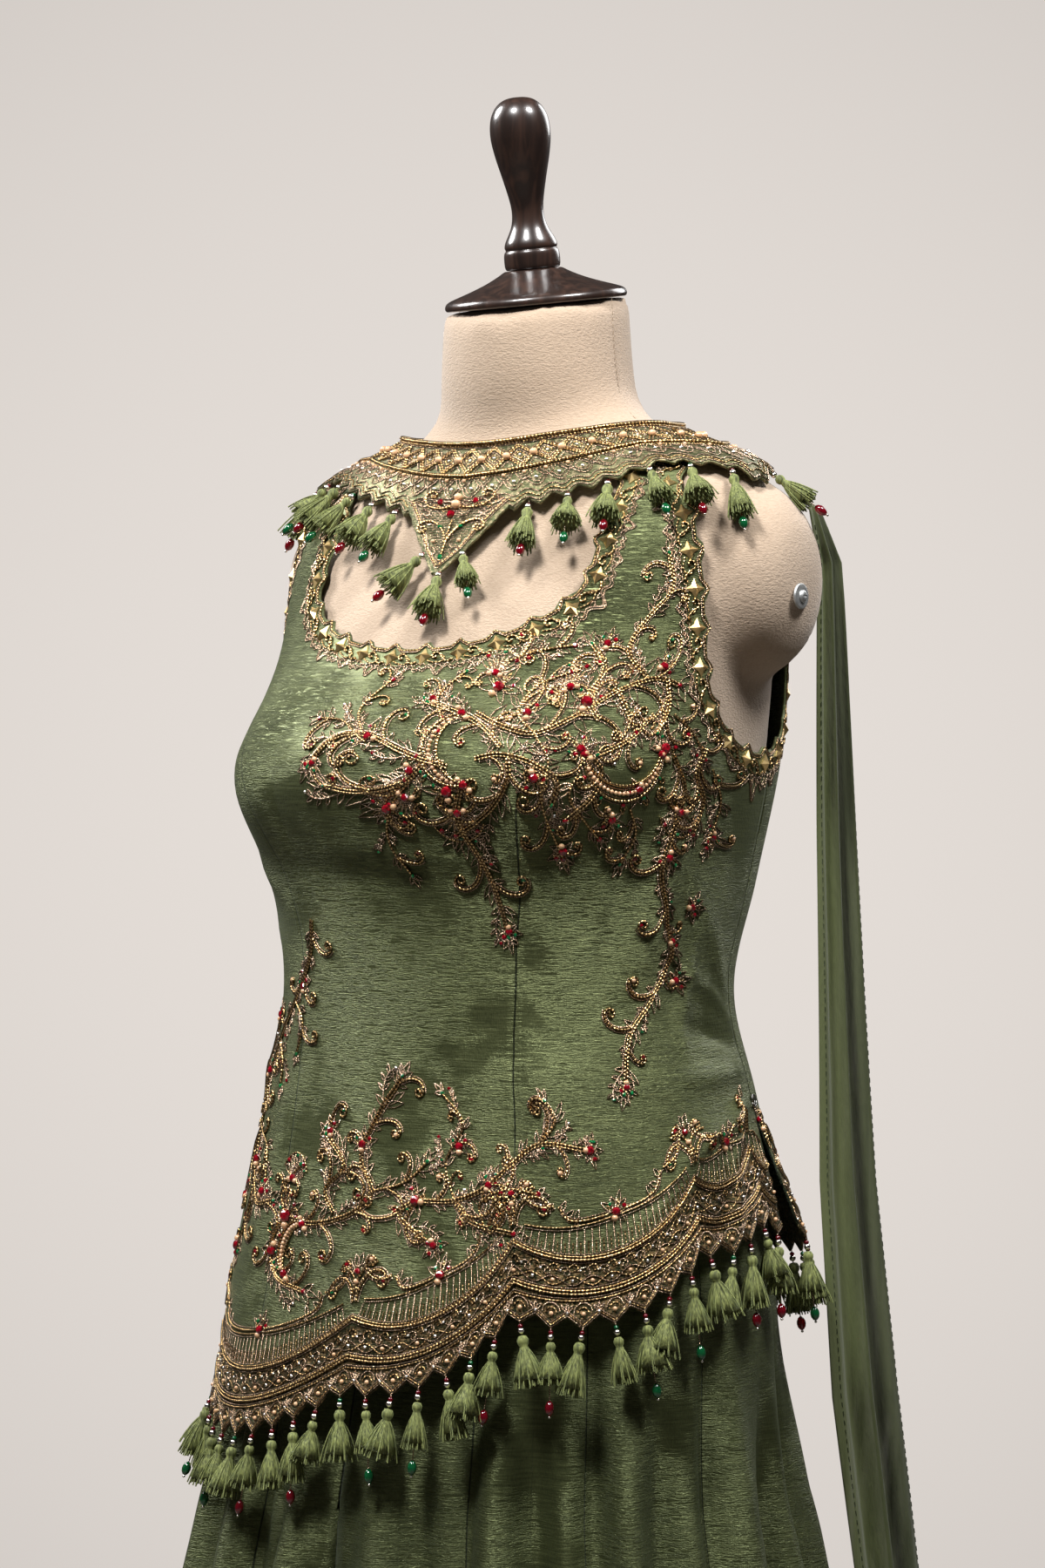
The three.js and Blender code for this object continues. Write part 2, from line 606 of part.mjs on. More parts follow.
function alongHem(side, u, up, out) {
  const angle = THREE.MathUtils.lerp(side.from, side.to, u);
  const z = hemHeight(side.hem, angle) + up;
  const { turn, lift } = side.flare(angle, z);
  return onKurti(angle + turn, levelOf(z), out + lift);
}

function hemBand(side) {
  const inside = CLOTH + SEAM;
  const rows = HEM_ROWS.length - 1;
  const place = (out) => (u, v) => alongHem(side, u, HEM_ROWS[Math.round(v * rows)], out);
  return wall(KURTI_COLUMNS, rows, place(inside + BORDER), place(inside));
}

// The plain solid that the hanging tassels fill, just below the hem
function hemFringe(side) {
  const place = (out) => (u, v) => {
    const edge = alongHem(side, u, 0, out + FRINGE_SWING * v);
    edge.z -= SEAM + (FRINGE_REACH - SEAM) * v;
    return edge;
  };
  return wall(KURTI_COLUMNS, 1, place(FRINGE_DEPTH), place(0));
}

function slitHook() {
  const level = levelOf(SLIT_TOP + 8);
  const seat = onKurti(SIDE_SEAM, level, CLOTH + SEAM + 1.6);
  const foot = onKurti(SIDE_SEAM, level, 0);
  const geometry = new THREE.BoxGeometry(2.4, 8, 5);
  geometry.rotateZ(Math.atan2(seat.y - foot.y, seat.x - foot.x));
  return geometry.translate(seat.x, seat.y, seat.z);
}

// ---- collar ----
function collarEdge(angle, edge) {
  const folded = Math.abs(THREE.MathUtils.radToDeg(Math.atan2(Math.sin(angle), Math.cos(angle))));
  return read(COLLAR_EDGES, 'angle', folded, edge);
}

function collarWall(from, to, inside, outside, grow) {
  const place = (out) => (u, v) => {
    const angle = THREE.MathUtils.lerp(from, to, u);
    const inner = collarEdge(angle, 'inner') - grow;
    return onForm(angle, THREE.MathUtils.lerp(inner, collarEdge(angle, 'outer') + grow, v), out);
  };
  return wall(18, 3, place(outside), place(inside));
}

// The point hangs from the collar's front edge, a triangle on the same surface
function collarPoint() {
  const place = (out) => (u, v) => {
    const angle = (2 * u - 1) * COLLAR_POINT.halfAngle * (1 - 0.94 * v);
    const top = collarEdge(angle, 'outer') + LEVEL_GAP;
    return onForm(angle, THREE.MathUtils.lerp(top, COLLAR_POINT.tip, v), out);
  };
  return wall(6, 4, place(COLLAR_LIFT + COLLAR_CLOTH), place(COLLAR_LIFT));
}

function collarFringe(from, to, reach) {
  const place = (out) => (u, v) => {
    const angle = THREE.MathUtils.lerp(from, to, u);
    return onForm(angle, collarEdge(angle, 'outer') + LEVEL_GAP + reach * v, out + 4 * v);
  };
  return wall(8, 2, place(COLLAR_LIFT + COLLAR_FRINGE), place(COLLAR_LIFT + COLLAR_CLOTH * 0.7));
}

function buildCollar() {
  const seam = rad(90);
  const outside = COLLAR_LIFT + COLLAR_CLOTH;
  add('collar_front', collarWall(-seam + SEAM_TURN, seam - SEAM_TURN, COLLAR_LIFT, outside, 0), zari);
  const toRight = 2 * Math.PI - seam - SEAM_TURN;
  add('collar_back', collarWall(seam + SEAM_TURN, toRight, COLLAR_LIFT, outside, 0), zari);
  add('collar_point', collarPoint(), zari);
  add('collar_tassels_left', collarFringe(rad(24), rad(74), 1.15), thread);
  add('collar_tassels_right', collarFringe(rad(-74), rad(-24), 1.15), thread);
}

// ---- cape ----
function capePoint(u, z, out) {
  const at = (column) => read(CAPE, 'z', z, column);
  const start = new THREE.Vector3(at('frontX'), at('frontY'), z);
  const end = new THREE.Vector3(at('backX'), at('backY'), z);
  const along = end.clone().sub(start).normalize();
  const across = new THREE.Vector3(along.y, -along.x, 0);
  return start.lerp(end, u).addScaledVector(across, at('fold') * Math.sin(2.5 * Math.PI * 2 * u) + out);
}

function cape() {
  const place = (out) => (u, v) => capePoint(u, CAPE[Math.round(v * (CAPE.length - 1))].z, out);
  return wall(10, CAPE.length - 1, place(CAPE_CLOTH / 2), place(-CAPE_CLOTH / 2));
}

// ---- sharara ----
function legSplit(z) {
  return LEG_SPLIT * THREE.MathUtils.clamp((WAISTBAND.bottom - z) / (WAISTBAND.bottom - CROTCH), 0, 1);
}

// A point round the outside of one leg: around runs 0 to 1 from front centre to back centre
function legPoint(side, around, z, out) {
  const at = (column) => read(SHARARA, 'z', z, column);
  const angle = around * Math.PI;
  const exponent = 2 / at('roundness');
  const inner = legSplit(z) + side * (SEAM / 2 + at('corner'));
  const width = at('halfWidth') - side * inner;
  const depth = Math.cos(angle) > 0 ? at('front') : at('back');
  const panel = Math.max(PANEL_EDGES.findLastIndex((edge) => edge <= around && edge < 1), 0);
  const across = (around - PANEL_EDGES[panel]) / (PANEL_EDGES[panel + 1] - PANEL_EDGES[panel]);
  const swing = Math.sin(across * Math.PI) ** 2;
  const fold = at('fold') * (FOLD_DEPTHS[panel] * swing - 0.5) + out;
  const outward = new THREE.Vector2(side * Math.sin(angle) / width, -Math.cos(angle) / depth).normalize();
  return new THREE.Vector3(
    inner + side * width * Math.abs(Math.sin(angle)) ** exponent + outward.x * fold,
    -depth * power(Math.cos(angle), exponent) + outward.y * fold,
    z,
  );
}

function legPanel(side, number) {
  const columns = 4;
  const heights = SHARARA.map((row) => row.z);
  const gap = SEAM / 2 / 500;
  const from = PANEL_EDGES[number] + (number > 0 ? gap : 0);
  const to = PANEL_EDGES[number + 1] - (PANEL_EDGES[number + 1] < 1 ? gap : 0);
  const place = (out) => (u, v) => {
    const share = side > 0 ? u : 1 - u;
    const z = heights[Math.round(v * (heights.length - 1))];
    return legPoint(side, THREE.MathUtils.lerp(from, to, share), z, out);
  };
  return wall(columns, heights.length - 1, place(CLOTH), place(0));
}

// The inner panel closes a leg between its front and back centre seams, from the crotch down
function innerPanel(side) {
  const columns = 8;
  const heights = SHARARA.map((row) => row.z).filter((z) => z <= CROTCH);
  const place = (out) => (u, v) => {
    const z = heights[Math.round(v * (heights.length - 1))] - (v === 0 ? SEAM : 0);
    const share = side > 0 ? u : 1 - u;
    const start = legPoint(side, 0, z, 0);
    const end = legPoint(side, 1, z, 0);
    const y = THREE.MathUtils.lerp(end.y - SEAM - CLOTH, start.y + SEAM + CLOTH, share);
    const edge = Math.abs(2 * share - 1) ** 4;
    const x = legSplit(z) + side * (SEAM / 2 + 0.01 + read(SHARARA, 'z', z, 'corner') * edge + out);
    return new THREE.Vector3(x, y, z);
  };
  return wall(columns, heights.length - 1, place(0), place(CLOTH));
}

function waistband() {
  const place = (out) => (u, v) => {
    const angle = u * 2 * Math.PI * 0.9995;
    const z = THREE.MathUtils.lerp(WAISTBAND.top, WAISTBAND.bottom, v);
    return onForm(angle, levelOf(z), out);
  };
  return wall(40, 1, place(WAIST_EASE + CLOTH), place(WAIST_EASE));
}

function buildSharara() {
  add('sharara_waistband', waistband(), silk);
  for (const [name, side] of [['left', 1], ['right', -1]]) {
    for (let number = 0; number < PANEL_EDGES.length - 1; number += 1) {
      add(`sharara_${name}_panel_${number + 1}`, legPanel(side, number), silk);
    }
    add(`sharara_${name}_inner`, innerPanel(side), silk);
  }
}

buildForm();
buildKurti();
add('kurti_side_hook', slitHook(), paintedSteel);
buildCollar();
add('cape_strip', cape(), chiffon);
buildSharara();

export default group;
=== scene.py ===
"""A sharara suit on a limbless dress form: kurti, collar with a cape strip, and flared trousers.

Metres, +Z up. The wearer faces -Y and the wearer's left is +X. The CAD model is the frame, and
each piece here is made in its place.
"""

import math
from collections import defaultdict
from contextlib import contextmanager

import bmesh
import bpy
import numpy as np
from mathutils import Matrix, Vector


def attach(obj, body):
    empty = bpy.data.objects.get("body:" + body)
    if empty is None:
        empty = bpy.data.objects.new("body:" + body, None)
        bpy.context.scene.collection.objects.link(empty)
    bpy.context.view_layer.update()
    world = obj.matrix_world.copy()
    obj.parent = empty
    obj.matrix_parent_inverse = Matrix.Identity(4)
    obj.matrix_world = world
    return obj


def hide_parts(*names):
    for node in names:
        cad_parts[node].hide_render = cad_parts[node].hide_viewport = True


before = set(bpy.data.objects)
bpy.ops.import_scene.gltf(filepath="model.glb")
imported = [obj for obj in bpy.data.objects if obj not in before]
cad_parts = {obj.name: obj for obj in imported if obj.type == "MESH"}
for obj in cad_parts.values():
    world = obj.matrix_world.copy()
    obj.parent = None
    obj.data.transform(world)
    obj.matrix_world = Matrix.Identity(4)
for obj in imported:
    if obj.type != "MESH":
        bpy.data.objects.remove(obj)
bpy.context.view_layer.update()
scene = bpy.context.scene

# ---- Camera ----
# A long portrait lens at bust height, turned a little to the wearer's left, frames the suit from
# the neck cap down to the upper sharara.
VIEW_TURN = math.radians(35)
VIEW_DISTANCE = 2.2
VIEW_HEIGHT = 1.225
VIEW_ASIDE = 0.008               # the frame's middle is this far to the left of the neck
NECK_Y = 0.027                   # where the neck stands, seen from above

camera = bpy.data.objects.new("camera", bpy.data.cameras.new("camera"))
camera.data.sensor_fit = "VERTICAL"
camera.data.sensor_height = 36
camera.data.lens = 88
camera.location = (VIEW_DISTANCE * math.sin(VIEW_TURN) - VIEW_ASIDE * math.cos(VIEW_TURN),
                   NECK_Y - VIEW_DISTANCE * math.cos(VIEW_TURN) - VIEW_ASIDE * math.sin(VIEW_TURN),
                   VIEW_HEIGHT)
camera.rotation_euler = (math.pi / 2, 0, VIEW_TURN)
scene.collection.objects.link(camera)
scene.camera = camera

# ---- Studio ----
# A pale floor in a pale room that darkens away from its back wall's middle. Soft lights hang high
# in front and on both sides, and a weak one behind. The floor throws little of their light back up.
FLOOR_RADIUS = 2.8
ROOM_COLOUR = (0.80, 0.745, 0.70)
LIGHTS_AIM = Vector((0, 0, 1.15))
LIGHTS = [
    # name, turn in degrees from the wearer's front, distance, height, size, watts
    ("key", 6, 1.3, 3.05, 0.55, 70),
    ("side", 88, 1.15, 2.9, 0.6, 44),
    ("fill", -78, 1.5, 2.5, 0.9, 38),
    ("behind", 175, 2.4, 2.6, 1.4, 26),
]


class Value:
    """A node's output. Sums with it put more nodes in its tree."""

    def __init__(self, socket):
        self.socket, self.tree = socket, socket.id_data

    def math(self, operation, *others):
        return put(self.tree, "ShaderNodeMath", self, *others, operation=operation)

    def __add__(self, other):
        return self.math("ADD", other)

    def __sub__(self, other):
        return self.math("SUBTRACT", other)

    def __mul__(self, other):
        return self.math("MULTIPLY", other)

    def clamped(self):
        self.socket.node.use_clamp = True
        return self


def fill(node, *args, **values):
    """Gives a node's inputs, in order or by name, numbers or other nodes' outputs."""
    enabled = [socket for socket in node.inputs if socket.enabled]
    named = {socket.name.replace(" ", "_"): socket for socket in reversed(enabled)}
    for socket, value in [*zip(enabled, args), *((named[key], value) for key, value in values.items())]:
        if isinstance(value, Value):
            value.tree.links.new(value.socket, socket)
        else:
            socket.default_value = (*value, 1) if socket.type == "RGBA" else value


def put(tree, kind, *args, out=None, **values):
    """Adds a node. Small-letter values are its settings and the others its inputs."""
    if "Node" not in kind:
        kind = tree.bl_idname.replace("Tree", kind)
    node = tree.nodes.new(kind)
    for key in [key for key in values if key[0].islower()]:
        setattr(node, key, values.pop(key))
    fill(node, *args, **values)
    return Value(node.outputs[out] if out else next(socket for socket in node.outputs if socket.enabled))


def mapped(tree, stretch):
    """Object coordinates, multiplied by one number or by one for each axis."""
    place = put(tree, "TexCoord", out="Object")
    return put(tree, "Mapping", place, Scale=stretch if isinstance(stretch, tuple) else (stretch,) * 3)


def noise(tree, stretch, detail=2.0, **values):
    return put(tree, "TexNoise", Vector=mapped(tree, stretch), Scale=1.0, Detail=detail, **values)


def mix(share, first, second):
    return put(share.tree, "Mix", share, A=first, B=second, data_type="RGBA")


def new_material(name):
    """A Principled material's tree, and what finishes it; relief is (height, strength, depth)."""
    material = bpy.data.materials.new(name)
    material.use_nodes = True
    tree = material.node_tree

    def finish(colour, roughness, relief=None, **values):
        if relief:
            height, strength, depth = relief
            values["Normal"] = put(tree, "Bump", Strength=strength, Distance=depth, Height=height)
        fill(tree.nodes["Principled BSDF"], Base_Color=colour, Roughness=roughness, **values)
        return material
    return tree, finish


def plain_material(name, colour, roughness, **values):
    return new_material(name)[1](colour, roughness, **values)


def new_object(name, mesh, material=None):
    piece = bpy.data.objects.new(name, mesh)
    scene.collection.objects.link(piece)
    if material:
        mesh.materials.clear()
        mesh.materials.append(material)
    return piece


@contextmanager
def reshaping(mesh):
    """Opens a mesh for changes, and writes them back."""
    model = bmesh.new()
    model.from_mesh(mesh)
    yield model
    model.to_mesh(mesh)
    model.free()


def floor_material():
    tree, finish = new_material("pale_floor")
    shown = mix(noise(tree, 1.7, 3.0), (0.79, 0.755, 0.725), (0.81, 0.775, 0.745))
    return finish(mix(put(tree, "LightPath", out="Is Camera Ray"), (0.17, 0.155, 0.14), shown), 0.85)


floor = bpy.data.meshes.new("floor")
with reshaping(floor) as model:
    bmesh.ops.create_circle(model, cap_ends=True, segments=96, radius=FLOOR_RADIUS)
new_object("floor", floor, floor_material())
for name, turn, distance, height, size, watts in LIGHTS:
    lamp = new_object(name, bpy.data.lights.new(name, "AREA"))
    lamp.data.shape = "DISK"
    lamp.data.size = size
    lamp.data.energy = watts
    turn = math.radians(turn)
    lamp.location = (distance * math.sin(turn), -distance * math.cos(turn), height)
    lamp.rotation_euler = (LIGHTS_AIM - lamp.location).to_track_quat("-Z", "Y").to_euler()
room = bpy.data.worlds.new("room")
room.use_nodes = True
tree = room.node_tree
to_wall = put(tree, "VectorMath", put(tree, "TexCoord", out="Generated"),
              (-math.sin(VIEW_TURN), math.cos(VIEW_TURN), 0), out="Value", operation="DOT_PRODUCT")
wall = put(tree, "MapRange", Value=to_wall, From_Min=0.965, From_Max=1.0, To_Min=0.79, To_Max=0.98)
seen = put(tree, "LightPath", out="Is Camera Ray")
fill(tree.nodes["Background"], ROOM_COLOUR, put(tree, "MapRange", Value=seen, To_Min=0.05, To_Max=wall))
scene.world = room
scene.view_settings.view_transform = "Standard"


# ---- Dress form: torso ----
# A padded hard-foam torso with a raised neck and short rounded shoulder stumps, covered in cream
# cotton jersey that is drawn tight and sewn at the neck, the shoulders and down the sides.
MM = 0.001
COLUMNS = ("z_front", "z_side", "z_back", "half_width", "front", "back", "centre_y", "roundness",
           "round_back", "ease_side", "ease_front", "ease_back")
BODY = np.array([
    (1505, 1510, 1515, 52.5, 52.5, 52.5, 27, 2.0, 2.0, 0, 0, 0),           # neck top
    (1456, 1462, 1470, 55.5, 54, 55, 27.5, 2.0, 2.0, 0, 0, 0),             # neck middle
    (1424, 1439, 1446, 61, 51, 57, 28, 1.9, 2.0, 1.6, 1.6, 1.6),           # neck base
    (1409, 1421, 1432, 82, 56, 64, 28, 1.85, 2.0, 1.7, 1.7, 1.7),          # collar edge
    (1394, 1411, 1418, 107, 62, 74, 27, 1.85, 2.0, 2.8, 2.9, 2.5),         # shoulder in
    (1374, 1402, 1401, 133, 70, 86, 25, 1.85, 2.1, 2.8, 3.0, 2.6),         # shoulder out
    (1349, 1387, 1378, 148, 79, 99, 21, 1.85, 2.2, 2.7, 3.0, 2.7),         # shoulder end
    (1321, 1350, 1345, 148, 90, 108, 15, 1.95, 2.5, 2.9, 3.2, 4),          # upper chest
    (1288, 1303, 1300, 144, 101, 113, 8, 2.1, 2.9, 3.2, 3.4, 8),           # chest
    (1255, 1255, 1255, 142, 114, 118, -1, 2.3, 3.0, 4.4, 4.4, 8),          # armpit
    (1225, 1225, 1225, 140, 116, 118, -2, 2.4, 2.8, 5, 5, 8),              # bust
    (1170, 1170, 1170, 129, 102, 104, -1, 2.3, 2.6, 7, 9, 12),             # under bust
    (1110, 1110, 1110, 121, 91, 91, -4, 2.25, 2.4, 8, 14, 15),             # waist
    (1050, 1050, 1050, 134, 101, 101, -1, 2.25, 2.35, 9, 9, 9),            # high hip
    (960, 960, 960, 151, 113, 112, 3, 2.3, 2.3, 12, 14, 12),               # hip
    (900, 900, 900, 149, 110, 108, 3, 2.3, 2.3, 21, 29, 24),               # thigh
    (848, 848, 848, 138, 100, 98, 2, 2.3, 2.3, 40, 52, 42),                # form's end
])
BODY_END = len(BODY) - 1
BUST = dict(height=1222, angle=math.radians(37), spread=math.radians(24), swell=21, above=46, below=44)
STUMP = dict(x=100, y=37, z=1338, reach=75, depth=50, height=63, roundness=2.6)
NECK_TILT = math.radians(9.5)
NECK_TOP = Vector((0, NECK_Y, 1.5))
FORM_EASE = 1.6                  # how far the form draws in under the cloth


def power(value, exponent):
    return np.sign(value) * np.abs(value) ** exponent


def ring_values(rings, level):
    """Smooth reading of the ring table between its rows, one array for each column."""
    level = np.clip(np.asarray(level, float), 0, len(rings) - 1)
    row = np.minimum(level.astype(int), len(rings) - 2)
    t = (level - row)[..., None]
    here, below = rings[row], rings[row + 1]
    slope_in = (below - rings[np.maximum(row - 1, 0)]) / 2
    slope_out = (rings[np.minimum(row + 2, len(rings) - 1)] - here) / 2
    values = ((2 * t**3 - 3 * t**2 + 1) * here + (t**3 - 2 * t**2 + t) * slope_in
              + (3 * t**2 - 2 * t**3) * below + (t**3 - t**2) * slope_out)
    return dict(zip(COLUMNS, np.moveaxis(values, -1, 0)))


def bust_swell(angle, z, bridge):
    """How far the bust pushes the surface out; cloth bridges the hollow between its two sides."""
    away = np.abs(np.arctan2(np.sin(angle), np.cos(angle))) - BUST["angle"]
    across = np.exp(-((away / BUST["spread"]) ** 2))
    rise = z - BUST["height"]
    down = np.exp(-((rise / np.where(rise > 0, BUST["above"], BUST["below"])) ** 2))
    return BUST["swell"] * np.where(away < 0, np.maximum(across, bridge), across) * down


def surface_point(rings, bridge, angle, level):
    angle, level = np.broadcast_arrays(np.asarray(angle, float), np.asarray(level, float))
    ring = ring_values(rings, level)
    side, ahead = np.sin(angle), np.cos(angle)
    facing = ahead > 0
    exponent = 2 / np.where(facing, ring["roundness"], ring["round_back"])
    z = ring["z_side"] + (np.where(facing, ring["z_front"], ring["z_back"]) - ring["z_side"]) * ahead**2
    swell = bust_swell(angle, z, bridge)
    depth = np.where(facing, ring["front"], ring["back"])
    x = ring["half_width"] * power(side, exponent) + swell * 0.35 * side
    y = ring["centre_y"] - depth * power(ahead, exponent) - swell * np.maximum(ahead, 0)
    return np.stack([x, y, z], axis=-1) * MM


def unit(vectors):
    return vectors / np.maximum(np.linalg.norm(vectors, axis=-1, keepdims=True), 1e-12)


def surface(rings, bridge):
    """A surface as a function of angle from the front, level down the rings and distance out."""
    step = 0.02

    def at(angle, level, out=0.0):
        angle, level = np.broadcast_arrays(np.asarray(angle, float), np.asarray(level, float))
        point = lambda turn, down: surface_point(rings, bridge, angle + turn,
                                                 np.clip(level + down, 0, len(rings) - 1))
        across = point(step, 0) - point(-step, 0)
        down = point(0, step) - point(0, -step)
        outward = unit(np.cross(down, across))
        return surface_point(rings, bridge, angle, level) + outward * np.asarray(out)[..., None]

    return at


on_form = surface(BODY, 0.2)


def make_mesh(name, points, faces):
    mesh = bpy.data.meshes.new(name)
    mesh.from_pydata(np.asarray(points).reshape(-1, 3).tolist(), [], faces)
    mesh.update()
    return mesh


def grid_faces(rows, columns, closed=False, flip=False):
    """Quads of a grid whose points run along each row in turn."""
    j, i = np.meshgrid(np.arange(rows - 1), np.arange(columns if closed else columns - 1), indexing="ij")
    following = (i + 1) % columns
    quads = np.stack([j * columns + i, (j + 1) * columns + i, (j + 1) * columns + following,
                      j * columns + following], axis=-1).reshape(-1, 4)
    return (quads[:, ::-1] if flip else quads).tolist()


def smooth(mesh):
    mesh.polygons.foreach_set("use_smooth", [True] * len(mesh.polygons))


def apply_modifiers(piece):
    """Turns a piece with its modifiers into a plain mesh."""
    shaped = bpy.data.meshes.new_from_object(
        piece.evaluated_get(bpy.context.evaluated_depsgraph_get()))
    piece.modifiers.clear()
    piece.data = shaped
    return piece


def turn_outward(mesh):
    with reshaping(mesh) as model:
        bmesh.ops.remove_doubles(model, verts=model.verts, dist=1e-6)
        bmesh.ops.recalc_face_normals(model, faces=model.faces)


def closed_rings(name, rings):
    """A closed tube of rings, with its first and last ring capped."""
    rows, columns = rings.shape[:2]
    faces = grid_faces(rows, columns, closed=True)
    faces.append(list(range(columns)))
    faces.append([(rows - 1) * columns + i for i in reversed(range(columns))])
    mesh = make_mesh(name, rings, faces)
    turn_outward(mesh)
    return mesh


def torso_rings():
    around = np.linspace(0, 2 * math.pi, 120, endpoint=False)
    levels = np.arange(0, BODY_END + 0.01, 0.125)
    return on_form(around[None, :], levels[:, None])


def stump_rings(side):
    around = np.linspace(0, 2 * math.pi, 64, endpoint=False)
    rise = np.radians(np.linspace(0, 89.5, 24))[:, None]
    size = power(np.cos(rise), 2 / STUMP["roundness"])
    reach = STUMP["x"] + STUMP["reach"] * power(np.sin(rise), 2 / STUMP["roundness"])
    x = side * reach + 0 * around
    y = STUMP["y"] + STUMP["depth"] * size * np.cos(around)
    z = STUMP["z"] + STUMP["height"] * size * np.sin(around)
    return np.stack([x, y, z], axis=-1) * MM


def merged(name, meshes):
    """One mesh of several."""
    whole = bpy.data.meshes.new(name)
    with reshaping(whole) as model:
        for mesh in meshes:
            model.from_mesh(mesh)
    return whole


def vertex_values(mesh, key="co"):
    values = np.empty(3 * len(mesh.vertices))
    mesh.vertices.foreach_get(key, values)
    return values.reshape(-1, 3)


def form_torso(material):
    mesh = merged("dress_form_torso", [closed_rings("form_part", shape)
                                       for shape in (torso_rings(), stump_rings(1), stump_rings(-1))])
    with reshaping(mesh) as model:
        slope = Vector((0, -math.sin(NECK_TILT), math.cos(NECK_TILT)))
        cut = bmesh.ops.bisect_plane(model, geom=model.verts[:] + model.edges[:] + model.faces[:],
                                     plane_co=NECK_TOP, plane_no=slope, clear_outer=True)
        edges = [e for e in cut["geom_cut"] if isinstance(e, bmesh.types.BMEdge)]
        bmesh.ops.edgeloop_fill(model, edges=edges)
    piece = new_object("dress_form_torso", mesh, material)
    remesh = piece.modifiers.new("one skin", "REMESH")
    remesh.mode = "VOXEL"
    remesh.voxel_size = 0.0063
    blend = piece.modifiers.new("padding", "SMOOTH")
    blend.factor = 0.5
    blend.iterations = 5
    apply_modifiers(piece)
    points, facing = vertex_values(piece.data), vertex_values(piece.data, "normal")
    aside, _, z = np.abs(points.T[..., None]) / MM
    covered = np.clip((1395 - z) / 60, 0, 1) * np.clip((165 - aside) / 25, 0, 1)
    piece.data.vertices.foreach_set("co", (points - facing * FORM_EASE * MM * covered).ravel())
    piece.data.materials.clear()
    piece.data.materials.append(material)
    smooth(piece.data)
    return piece


def jersey_material():
    """Fine knitted ribs across, with pills and a soft unevenness of tone."""
    tree, finish = new_material("cream_jersey")
    knit = noise(tree, (420, 420, 1100), 3.0, Roughness=0.6) + noise(tree, 520) * 0.6
    tone = mix(noise(tree, 9, 3.0), (0.470, 0.352, 0.252), (0.545, 0.420, 0.310))
    colour = mix((knit - 0.35).clamped(), (0.40, 0.29, 0.20), tone)
    return finish(colour, 0.9, (knit, 0.5, 0.0011), Sheen_Weight=0.25, Sheen_Roughness=0.6)


torso = form_torso(jersey_material())
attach(torso, "root")
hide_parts("form_torso")


# ---- Dress form: neck cap and knob ----
# Two turned hardwood pieces, stained nearly black and lacquered. The disc is pinned on the slanted
# neck, and the knob screws into it over a small dowel.
CAP_PROFILE = [(0, 0.3), (50.6, 0.3), (52.2, 1.0), (52.6, 2.6), (51.9, 4.6), (50, 6.1), (46, 7.6), (38, 10.2),
               (28, 14.0), (20.5, 17.8), (17, 20), (15.5, 20.4), (0, 20.4)]
KNOB_PROFILE = [(0, 20.3), (14.6, 20.3), (15.7, 21.4), (16.1, 23.5), (16, 29), (15.4, 31), (14.6, 31.6),
                (14.8, 32.4), (15.3, 33.6), (14.6, 36.5), (12.4, 40.5), (10.2, 45), (9.2, 50), (9.1, 55),
                (9.8, 60), (11.3, 67), (13.2, 75), (15.2, 83), (16.8, 91), (17.4, 97), (17.1, 103),
                (15.8, 108.5), (13.2, 113), (9.4, 116.3), (4.8, 117.8), (0, 118)]


def smoothed(points, passes=2):
    """Corner cutting, which keeps a turned profile's ends."""
    points = np.asarray(points, float)
    for _ in range(passes):
        quarter = points[:-1] * 0.75 + points[1:] * 0.25
        three = points[:-1] * 0.25 + points[1:] * 0.75
        points = np.concatenate([points[:1], np.stack([quarter, three], 1).reshape(-1, points.shape[1]),
                                 points[-1:]])
    return points


def ring_points(rings, sides, squash=1.0, twist=0.0):
    """Points of a turned shape from rings of (radius, height); every second ring is twisted."""
    radius, height = np.array(rings, float).T[..., None]
    turn = 2 * math.pi * (np.arange(sides) + twist * (np.arange(len(rings)) % 2)[:, None]) / sides
    return np.stack([radius * np.cos(turn), squash * radius * np.sin(turn), height + 0 * turn], axis=-1)


def turned(name, profile, sides=60, passes=2):
    """A solid turned about +Z from (radius, height) points in millimetres, bottom first."""
    rings = smoothed(profile, passes) * MM
    mesh = make_mesh(name, ring_points(rings, sides), grid_faces(len(rings), sides, closed=True))
    turn_outward(mesh)
    smooth(mesh)
    return mesh


def lacquered_wood():
    """Dark stain over faint grain, worn a little redder at the edges, under a clear glossy coat."""
    tree, finish = new_material("dark_lacquered_wood")
    grain = noise(tree, (140, 140, 12), 4.0, Distortion=1.2)
    streak = ((grain - 0.42).clamped() * 3.0).clamped()
    worn = ((put(tree, "NewGeometry", out="Pointiness") - 0.515).clamped() * 9.0).clamped()
    stain = mix(streak, (0.016, 0.009, 0.007), (0.042, 0.020, 0.013))
    return finish(mix(worn, stain, (0.13, 0.052, 0.028)), grain * 0.16 + 0.24, (grain, 0.12, 0.0004),
                  Coat_Weight=0.6, Coat_Roughness=0.12)


lacquer = lacquered_wood()
for name, profile, node in (("neck_cap_turned", CAP_PROFILE, "neck_cap_disc"),
                            ("neck_knob_turned", KNOB_PROFILE, "neck_knob")):
    piece = new_object(name, turned(name, profile), lacquer)
    piece.data.transform(Matrix.Translation(NECK_TOP) @ Matrix.Rotation(NECK_TILT, 4, "X"))
    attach(piece, "root")
    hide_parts(node)

